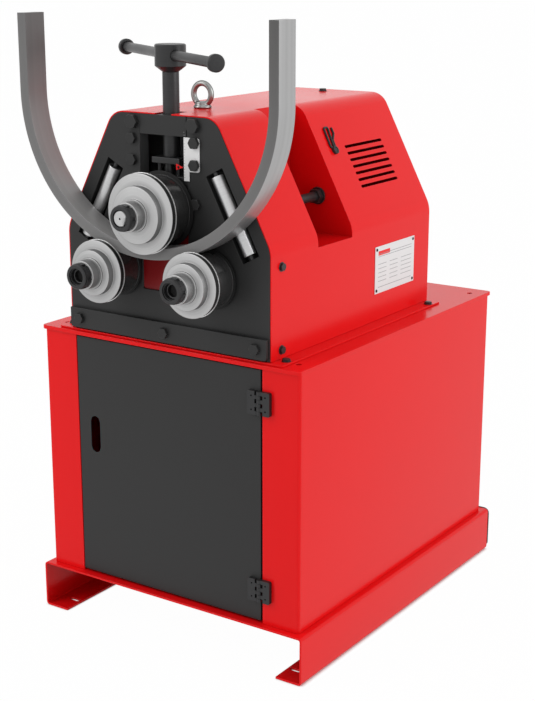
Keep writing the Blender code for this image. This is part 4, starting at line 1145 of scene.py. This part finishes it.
makeScrew()
makeHub()
rod = solidRod(handleCut["rodRadius"], *rodSpan("handle_rod"))
fit(lathe("handleRod", rod, across, "rodSteel", handleCut["rodEase"], turns=48), "handle_rod")
makeKnob("front_knob", 1)
makeKnob("back_knob", -1)
print("screw and handle turned")

# Lifting eye: a ring on a necked foot, melted into one forging
eyeCut = {
    "ring": 0.0197,
    "wire": 0.0053,
    "collarRadius": 0.0166,
    "collarHeight": 0.0035,
    "neckRadius": 0.0138,
    "neckHeight": 0.0116,
    "shankRadius": 0.0060,
    "ease": 0.0012,
    "voxel": 0.0007,
}


def makeEye():
    cut = eyeCut
    low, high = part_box("eye_bolt")
    middle = (low + high) / 2
    foot = high.z - 2 * (cut["ring"] + cut["wire"])
    neckTop = foot + cut["neckHeight"]
    stem = [
        (0, neckTop),
        (cut["neckRadius"] * 0.90, neckTop),
        (cut["neckRadius"], foot + cut["neckHeight"] * 0.85),
        (cut["neckRadius"], foot + cut["neckHeight"] * 0.55),
        (cut["collarRadius"], foot + cut["collarHeight"]),
        (cut["collarRadius"], foot),
        (cut["shankRadius"], foot),
        (cut["shankRadius"], low.z),
        (0, low.z),
    ]
    axis = Matrix.Translation((middle.x, middle.y, 0))
    eye = lathe("eyeBolt", stem, axis, "zincPlate", cut["ease"], turns=64)
    angles = [math.tau * k / 24 for k in range(24)]
    ring = [(cut["ring"] + cut["wire"] * math.cos(a), cut["wire"] * math.sin(a)) for a in angles]
    place = forwardAxis(middle.x, middle.y, high.z - cut["ring"] - cut["wire"])
    carve(eye, [lathe("eyeRing", ring, place, "zincPlate", 0, 96)], "UNION")
    melt = eye.modifiers.new("melt", "REMESH")
    melt.mode = "VOXEL"
    melt.voxel_size = cut["voxel"]
    melt.use_smooth_shade = True
    ease = eye.modifiers.new("ease", "SMOOTH")
    ease.iterations = 6
    fit(settle(eye), "eye_bolt")


makeEye()
print("lifting eye forged")

# Sheet and plate pieces keep the source's shape, with eased edges
dressed = {
    "redCoat": {
        "base_tray": 0.0006,
        "cabinet_shell": 0.0006,
        "cabinet_top_plate": 0.0007,
        "housing_flange": 0.0004,
        "hood": 0.0005,
    },
    "guardCoat": {"inner_guard": 0.0004},
    "blackCoat": {
        "base_rear_panel": 0.0006,
        "front_plate": 0.0008,
        "bottom_strip": 0.0008,
        "motor_fan": 0.0005,
    },
    "oxideSteel": {
        "carriage": 0.0008,
        "pocket_rod": 0.0004,
    },
    "castIron": {
        "rear_plate": 0.0008,
        "gearbox": 0.0008,
        "left_gear": 0.0004,
        "right_gear": 0.0004,
        "drive_pinion": 0.0004,
    },
    "palePlate": {"scale_plate": 0.0003, "side_label": 0.0002},
    "pointerRed": {"pointer": 0.0003},
}
for finish, nodes in dressed.items():
    for node, edge in nodes.items():
        dressedCopy(node, finish, edge)


# Painted light: the window's side walls take a lighter steel than the black plate, standing in for the light
# that reaches in there
def lightenWindowWalls():
    plate = bpy.data.objects[pieceName("front_plate")]
    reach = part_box("carriage")[1].x + touch * 3
    shareFinish(plate, "litWindowSteel", lambda face: abs(face.normal.x) > 0.9 and abs(face.center.x) < reach)


lightenWindowWalls()

# These are dressed too, with seams cut where the photograph shows dark lines
seamCut = {
    "doorGap": (0.0010, 0.0024, 0.0020),
    "blockSeam": 0.0012,
    "blockSeamDepth": 0.0050,
    "hingeSlot": {"door": 0.0026, "frame": 0.0042},
    "hingeBarrel": 0.0054,
    "hingeKnuckles": 6,
    "hingeEase": 0.0002,
    "doorEase": 0.0006,
    "blockEase": 0.0004,
    "washerEase": 0.0006,
    "washerRadius": 0.0165,
    "washerWidth": 0.0035,
}


def dressDoor():
    door = plainCopy("door", "blackCoat")
    low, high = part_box("door")
    left, right, top = seamCut["doorGap"]
    shrink = Matrix.Diagonal((1 - (left + right) / (high.x - low.x), 1, 1 - top / (high.z - low.z), 1))
    start = Vector((low.x, 0, low.z))
    shift = Vector((left, 0, 0))
    door.data.transform(Matrix.Translation(start + shift) @ shrink @ Matrix.Translation(-start))
    fit(easeEdges(door, seamCut["doorEase"]), "door")


def dressTopBlock():
    cut = seamCut
    topBlock = plainCopy("top_block", "blackCoat")
    low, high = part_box("top_block")
    side = max(vert.co.x for vert in topBlock.data.vertices if vert.co.y < low.y + touch)
    start = (side - cut["blockSeam"], low.y - touch, low.z - touch)
    carve(topBlock, [block("seam", start, (side + touch, low.y + cut["blockSeamDepth"], high.z + touch))])
    fit(easeEdges(topBlock, cut["blockEase"]), "top_block")


def dressLeaf(pin, name, word, side):
    cut = seamCut
    leaf = plainCopy(name, "oxideSteel")
    pinLow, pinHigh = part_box(pin)
    leafLow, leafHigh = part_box(name)
    step = (pinHigh.z - pinLow.z) / cut["hingeKnuckles"]
    near = (pinLow.x + pinHigh.x) / 2 + side * (cut["hingeBarrel"] - touch)
    far = near + side * cut["hingeSlot"][word]
    slots = []
    for k in range((1 - side) // 2, cut["hingeKnuckles"], 2):
        foot = pinLow.z + step * k - touch / 2
        start = (min(near, far), leafLow.y - touch, foot)
        slots.append(block("slot", start, (max(near, far), leafHigh.y + touch, foot + step + touch)))
    carve(leaf, slots)
    fit(easeEdges(leaf, cut["hingeEase"]), name)


def makeWasher():
    cut = seamCut
    low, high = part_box("pocket_rod")
    place = forwardAxis((low.x + high.x) / 2, high.y, (low.z + high.z) / 2)
    radius = cut["washerRadius"]
    profile = tube(radius, radius * 0.5, touch, cut["washerWidth"])
    washer = lathe("pocketWasher", profile, place, "oxideSteel", cut["washerEase"], turns=48)
    fit(washer, on="frame", slot="dark_steel")


dressDoor()
dressTopBlock()
for place in ("upper", "lower"):
    for word, side in (("door", -1), ("frame", 1)):
        dressLeaf(place + "_hinge_pin", place + "_hinge_" + word + "_leaf", word, side)
makeWasher()
print("sheet and plate pieces dressed")

# Hex bolts: (x, z) on the front plate and the strip, (y, z) on the sides
boltCut = {
    "blockRadius": 0.0138,
    "plateRadius": 0.0108,
    "stripRadius": 0.0105,
    "sideRadius": 0.0075,
    "flangeRadius": 0.0075,
    "plateSpots": ((-0.0710, 0.9713), (-0.0710, 0.9322), (-0.0725, 0.8630), (0.0725, 0.8630)),
    "scaleSpots": ((0.0712, 0.9713), (0.0712, 0.9322)),
    "stripSpots": (-0.2030, 0.0, 0.2030),
    "sideSetback": -0.2810,
    "sideSpots": (0.7640, 0.6140),
    "rearSetback": 0.2190,
    "flangeSpots": ((0.2480, -0.2900), (0.2500, 0.2350)),
}
forward = (0, -1, 0)


def fitBolts(name, pattern, spots, size, finish="oxideSteel", slot="dark_steel"):
    fit(setOut(name, pattern, spots, boltCut[size], finish), on="frame", slot=slot)


def makeBolts():
    cut = boltCut
    boxes = [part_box(side + "_block_bolt") for side in ("left", "right")]
    spots = [(((low.x + high.x) / 2, plateFront, (low.z + high.z) / 2), forward, 0) for low, high in boxes]
    heads = setOut("blockBolts", hexPattern, spots, cut["blockRadius"], "blackCoat")
    fit(heads, "left_block_bolt", "right_block_bolt")
    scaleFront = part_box("scale_plate")[0].y
    small = [((x, plateFront, z), forward, 0) for x, z in cut["plateSpots"]]
    small += [((x, scaleFront, z), forward, 0) for x, z in cut["scaleSpots"]]
    fitBolts("plateBolts", hexPattern, small, "plateRadius", "blackCoat", "black_paint")
    low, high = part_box("bottom_strip")
    strip = [((x, low.y, (low.z + high.z) / 2), forward, 0) for x in cut["stripSpots"]]
    fitBolts("stripBolts", hexPattern, strip, "stripRadius", "blackCoat", "black_paint")
    low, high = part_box("hood")
    side = []
    for z in cut["sideSpots"]:
        side += [((x, cut["sideSetback"], z), (way, 0, 0), 15) for x, way in ((high.x, 1), (low.x, -1))]
    side.append(((0, cut["rearSetback"], high.z), (0, 0, 1), 10))
    fitBolts("hoodBolts", washerPattern, side, "sideRadius")
    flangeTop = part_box("housing_flange")[1].z
    foot = []
    for x, y in cut["flangeSpots"]:
        foot += [((sign * x, y, flangeTop), (0, 0, 1), 20 * sign) for sign in (-1, 1)]
    fitBolts("flangeBolts", washerPattern, foot, "flangeRadius")


makeBolts()
print("bolts set out")


# Plain ruled bars in a row, every fifth one longer: the scale's divisions and the label's blank lines
def makeRuledTree():
    floats = dict.fromkeys(("Pitch", "Length", "Width", "Long Share"), "Float")
    tree, given, end = newGeometryTree("ruledBars", {"Count": "Int", **floats, "Finish": "Material"})
    inputs = {"Count": given["Count"], "Offset": joinXYZ(tree, {"Y": given["Pitch"]})}
    row = addNode(tree, "GeometryNodeMeshLine", inputs)
    rise = mathNode(tree, "MULTIPLY", given["Width"], 0.5)
    size = joinXYZ(tree, {"X": given["Length"], "Y": given["Width"], "Z": rise})
    bar = addNode(tree, "GeometryNodeMeshCube", {"Size": size})
    shift = joinXYZ(tree, {"X": mathNode(tree, "MULTIPLY", given["Length"], 0.5)})
    moved = addNode(tree, "GeometryNodeTransform", {"Geometry": bar.outputs["Mesh"], "Translation": shift})
    number = addNode(tree, "GeometryNodeInputIndex").outputs["Index"]
    fifth = mathNode(tree, "LESS_THAN", mathNode(tree, "MODULO", number, 5.0), 0.5)
    stretch = joinXYZ(tree, {"X": spread(tree, fifth, 0, 1, 1.0, given["Long Share"]), "Y": 1, "Z": 1})
    inputs = {"Points": row.outputs["Mesh"], "Instance": moved.outputs["Geometry"], "Scale": stretch}
    bars = addNode(tree, "GeometryNodeInstanceOnPoints", inputs)
    return closeTree(tree, given, end, bars.outputs["Instances"])


ruledTree = makeRuledTree()


def ruleBars(name, place, values):
    piece = runTree(newPoints(name, []), ruledTree, {**values, "Finish": finishes["ruledInk"]})
    piece.data.transform(place)
    fit(piece, on="frame", slot="dark_steel")


# A column of the label is a start and a length as shares of its width, a count, and a place in pitches
scaleCut = {
    "foot": 0.006,
    "divisions": {"Count": 17, "Pitch": 0.005, "Length": 0.0022, "Width": 0.0006, "Long Share": 1.9},
    "pointerScrew": 0.0026,
}
labelCut = {
    "margin": 0.012,
    "rivetInset": 0.0060,
    "rivetRadius": 0.0031,
    "pitch": 0.0084,
    "closeShare": 0.6,
    "width": 0.0009,
    "columns": (
        (0.0, 1.0, 2, 7.2),
        (0.0, 0.24, 5, 1.4),
        (0.34, 0.24, 5, 1.4),
        (0.68, 0.32, 5, 1.4),
        (0.0, 1.0, 1, 0.0),
    ),
    "header": (0.0, 0.34, 0.0085),
}


def markScale():
    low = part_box("scale_plate")[0]
    place = forwardAxis(low.x, low.y, low.z + scaleCut["foot"])
    ruleBars("scaleDivisions", place, scaleCut["divisions"])


def markLabel():
    cut = labelCut
    low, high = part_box("side_label")
    inset = cut["rivetInset"]
    spots = []
    for y in (low.y + inset, high.y - inset):
        spots += [((high.x, y, z), (1, 0, 0), 0) for z in (low.z + inset, high.z - inset)]
    rivets = setOut("labelRivets", domePattern, spots, cut["rivetRadius"], "deepOxide")
    fit(rivets, on="frame", slot="dark_steel")
    place = Matrix.Translation((high.x, low.y + cut["margin"], low.z + cut["margin"]))
    place = place @ Matrix.Rotation(math.radians(90), 4, "Z") @ Matrix.Rotation(math.radians(90), 4, "X")
    wide = high.y - low.y - cut["margin"] * 2
    for k, (start, length, count, row) in enumerate(cut["columns"]):
        values = {
            "Count": count,
            "Pitch": cut["pitch"] * (cut["closeShare"] if length == 1.0 else 1.0),
            "Length": wide * length,
            "Width": cut["width"],
            "Long Share": 1.0,
        }
        shift = Matrix.Translation((wide * start, cut["pitch"] * row, 0))
        ruleBars("labelLines%d" % k, place @ shift, values)
    start, end, tall = cut["header"]
    top = high.z - inset * 1.6
    near = (high.x - touch, low.y + cut["margin"] + wide * start, top - tall)
    far = (high.x + touch / 2, low.y + cut["margin"] + wide * end, top)
    fit(block("labelHeader", near, far, "pointerRed"), on="frame", slot="red_paint")


def markPointer():
    low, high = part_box("pointer")
    middle = (low.x + (high.x - low.x) / 3, low.y, (low.z + high.z) / 2)
    dot = setOut("pointerScrew", domePattern, [(middle, forward, 0)], scaleCut["pointerScrew"], "deepOxide")
    fit(dot, on="carriage", slot="dark_steel")


markScale()
markLabel()
markPointer()
print("plates marked")


# Tool clip on the hood's slope: a long hairpin and a kinked prong, held by one screw
def makeWireTree():
    floats = dict.fromkeys(("Radius", "Bend"), "Float")
    tree, given, end = newGeometryTree("bentWire", {"Path": "Geometry", **floats, "Finish": "Material"})
    bent = roundOff(tree, pathOf(tree, given["Path"]), 6, given["Bend"])
    inputs = {"Resolution": 14, "Radius": given["Radius"]}
    section = addNode(tree, "GeometryNodeCurvePrimitiveCircle", inputs)
    return closeTree(tree, given, end, sweep(tree, bent, section.outputs["Curve"]))


wireTree = makeWireTree()


# Places on the slope: first toward the back, then down from the crown's edge
clipCut = {
    "wire": 0.0020,
    "bend": 0.0040,
    "rise": 0.0021,
    "hairpin": (
        (0.0022, 0.0965),
        (-0.0056, 0.0900),
        (-0.0036, 0.0530),
        (0.0104, 0.0520),
        (0.0062, 0.0790),
        (0.0050, 0.0920),
    ),
    "prong": ((0.0224, 0.0545), (0.0222, 0.0670), (0.0108, 0.0790), (0.0100, 0.0900), (0.0060, 0.0965)),
    "boss": (0.0044, 0.0992),
    "bossRadius": 0.0078,
    "bossHeight": 0.0055,
    "bossEase": 0.0005,
    "screwRadius": 0.0040,
    "crownHalf": 0.1153,
    "slopeDrop": 0.2218,
}


def makeClip():
    cut = clipCut
    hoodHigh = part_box("hood")[1]
    drop = Vector((hoodHigh.x - cut["crownHalf"], 0, -cut["slopeDrop"])).normalized()
    outward = Vector((-drop.z, 0, drop.x))
    place = Matrix((Vector((0, 1, 0)), -drop, outward)).transposed().to_4x4()
    place = Matrix.Translation((cut["crownHalf"], 0, hoodHigh.z)) @ place
    for word in ("hairpin", "prong"):
        points = [(along, -down, cut["rise"]) for along, down in cut[word]]
        values = {"Radius": cut["wire"], "Bend": cut["bend"], "Finish": finishes["blackCoat"]}
        piece = runTree(newPoints("clip" + word.capitalize(), points, True), wireTree, values)
        piece.data.transform(place)
        piece.data.shade_smooth()
        piece.data.set_sharp_from_angle(angle=math.radians(50))
        fit(piece, on="frame", slot=slotOf["tool_clip"])
    along, down = cut["boss"]
    height = cut["bossHeight"]
    screw = cut["screwRadius"]
    profile = [
        (0, 0),
        (cut["bossRadius"], 0),
        (cut["bossRadius"], height),
        (screw + touch * 3, height),
        (screw + touch * 3, height * 0.6),
        (screw, height * 0.6),
        (screw, height * 0.9),
        (0, height * 0.9),
    ]
    seat = place @ Matrix.Translation((along, -down, touch))
    fit(lathe("clipBoss", profile, seat, "blackCoat", cut["bossEase"], turns=32), "tool_clip")


makeClip()
print("tool clip bent")

# What stays as CAD made it takes the record's finish
slotFinishes = {
    "red_paint": "redCoat",
    "black_paint": "blackCoat",
    "turned_steel": "turnedSteel",
    "dark_steel": "oxideSteel",
    "bar_steel": "turnedSteel",
    "bright_chrome": "polishedSteel",
    "cast_iron": "castIron",
    "blank_plate": "palePlate",
}
for nodeName, nodeObject in frame["nodes"].items():
    nodeObject.data.materials.clear()
    nodeObject.data.materials.append(finishes[slotFinishes[slotOf[nodeName]]])
for pattern in (hexPattern, washerPattern, domePattern):
    bpy.data.objects.remove(pattern)

# Floor, lamps and world
studio = {
    "floorRadius": 40.0,
    "floorColour": 0.80,
    "floorDrop": 0.0002,
    "floorGlow": 0.985,
    "floorContact": 0.009,
    "worldLight": 0.74,
    "keyPlace": (-2.6, -3.4, 3.6),
    "keySize": 2.6,
    "keyPower": 83.0,
    "fillPlace": (3.8, 0.6, 2.2),
    "fillSize": 3.0,
    "fillPower": 55.0,
}


def seenRays(tree):
    path = addNode(tree, "ShaderNodeLightPath").outputs
    seen = mathNode(tree, "MAXIMUM", path["Is Camera Ray"], path["Is Glossy Ray"])
    return mathNode(tree, "MAXIMUM", seen, path["Is Transmission Ray"])


def lightWorld():
    world = bpy.data.worlds.new("studioWorld")
    bpy.context.scene.world = world
    world.use_nodes = True
    tree = world.node_tree
    strength = spread(tree, seenRays(tree), 0, 1, studio["worldLight"], 1.0)
    feed(tree, tree.nodes["Background"], {"Color": (1, 1, 1, 1), "Strength": strength})


def layFloor():
    bm = bmesh.new()
    bmesh.ops.create_circle(bm, cap_ends=True, segments=64, radius=studio["floorRadius"])
    mesh = bpy.data.meshes.new("studioFloor")
    bm.to_mesh(mesh)
    bm.free()
    floor = putInScene("studioFloor", mesh)
    floor.location.z = cadLow.z - studio["floorDrop"]
    material, tree, shader = newMaterial("floorPaint")
    feed(tree, shader, {"Base Color": asColour(studio["floorColour"]), "Roughness": 0.9})
    glow = addNode(tree, "ShaderNodeEmission")
    # Painted shadow: the glow gives way to the lit floor where ambient occlusion finds the object close by
    contact = addNode(tree, "ShaderNodeAmbientOcclusion", {"Distance": studio["floorContact"]}, samples=8)
    clear = spread(tree, contact.outputs["AO"], 0.35, 0.85, 0.0, studio["floorGlow"])
    share = mathNode(tree, "MULTIPLY", seenRays(tree), clear)
    inputs = {"Fac": share, 1: shader.outputs["BSDF"], 2: glow.outputs["Emission"]}
    blend = addNode(tree, "ShaderNodeMixShader", inputs)
    feed(tree, tree.nodes["Material Output"], {"Surface": blend.outputs["Shader"]})
    mesh.materials.append(material)


def hangLamps():
    middle = (cadLow + cadHigh) / 2
    for word in ("key", "fill"):
        lamp = bpy.data.lights.new(word + "Lamp", "AREA")
        lamp.shape = "DISK"
        lamp.size = studio[word + "Size"]
        lamp.energy = studio[word + "Power"]
        holder = putInScene(word + "Lamp", lamp)
        holder.location = studio[word + "Place"]
        holder.rotation_euler = (Vector(studio[word + "Place"]) - middle).to_track_quat("Z", "Y").to_euler()


lightWorld()
layFloor()
hangLamps()
print("studio made")
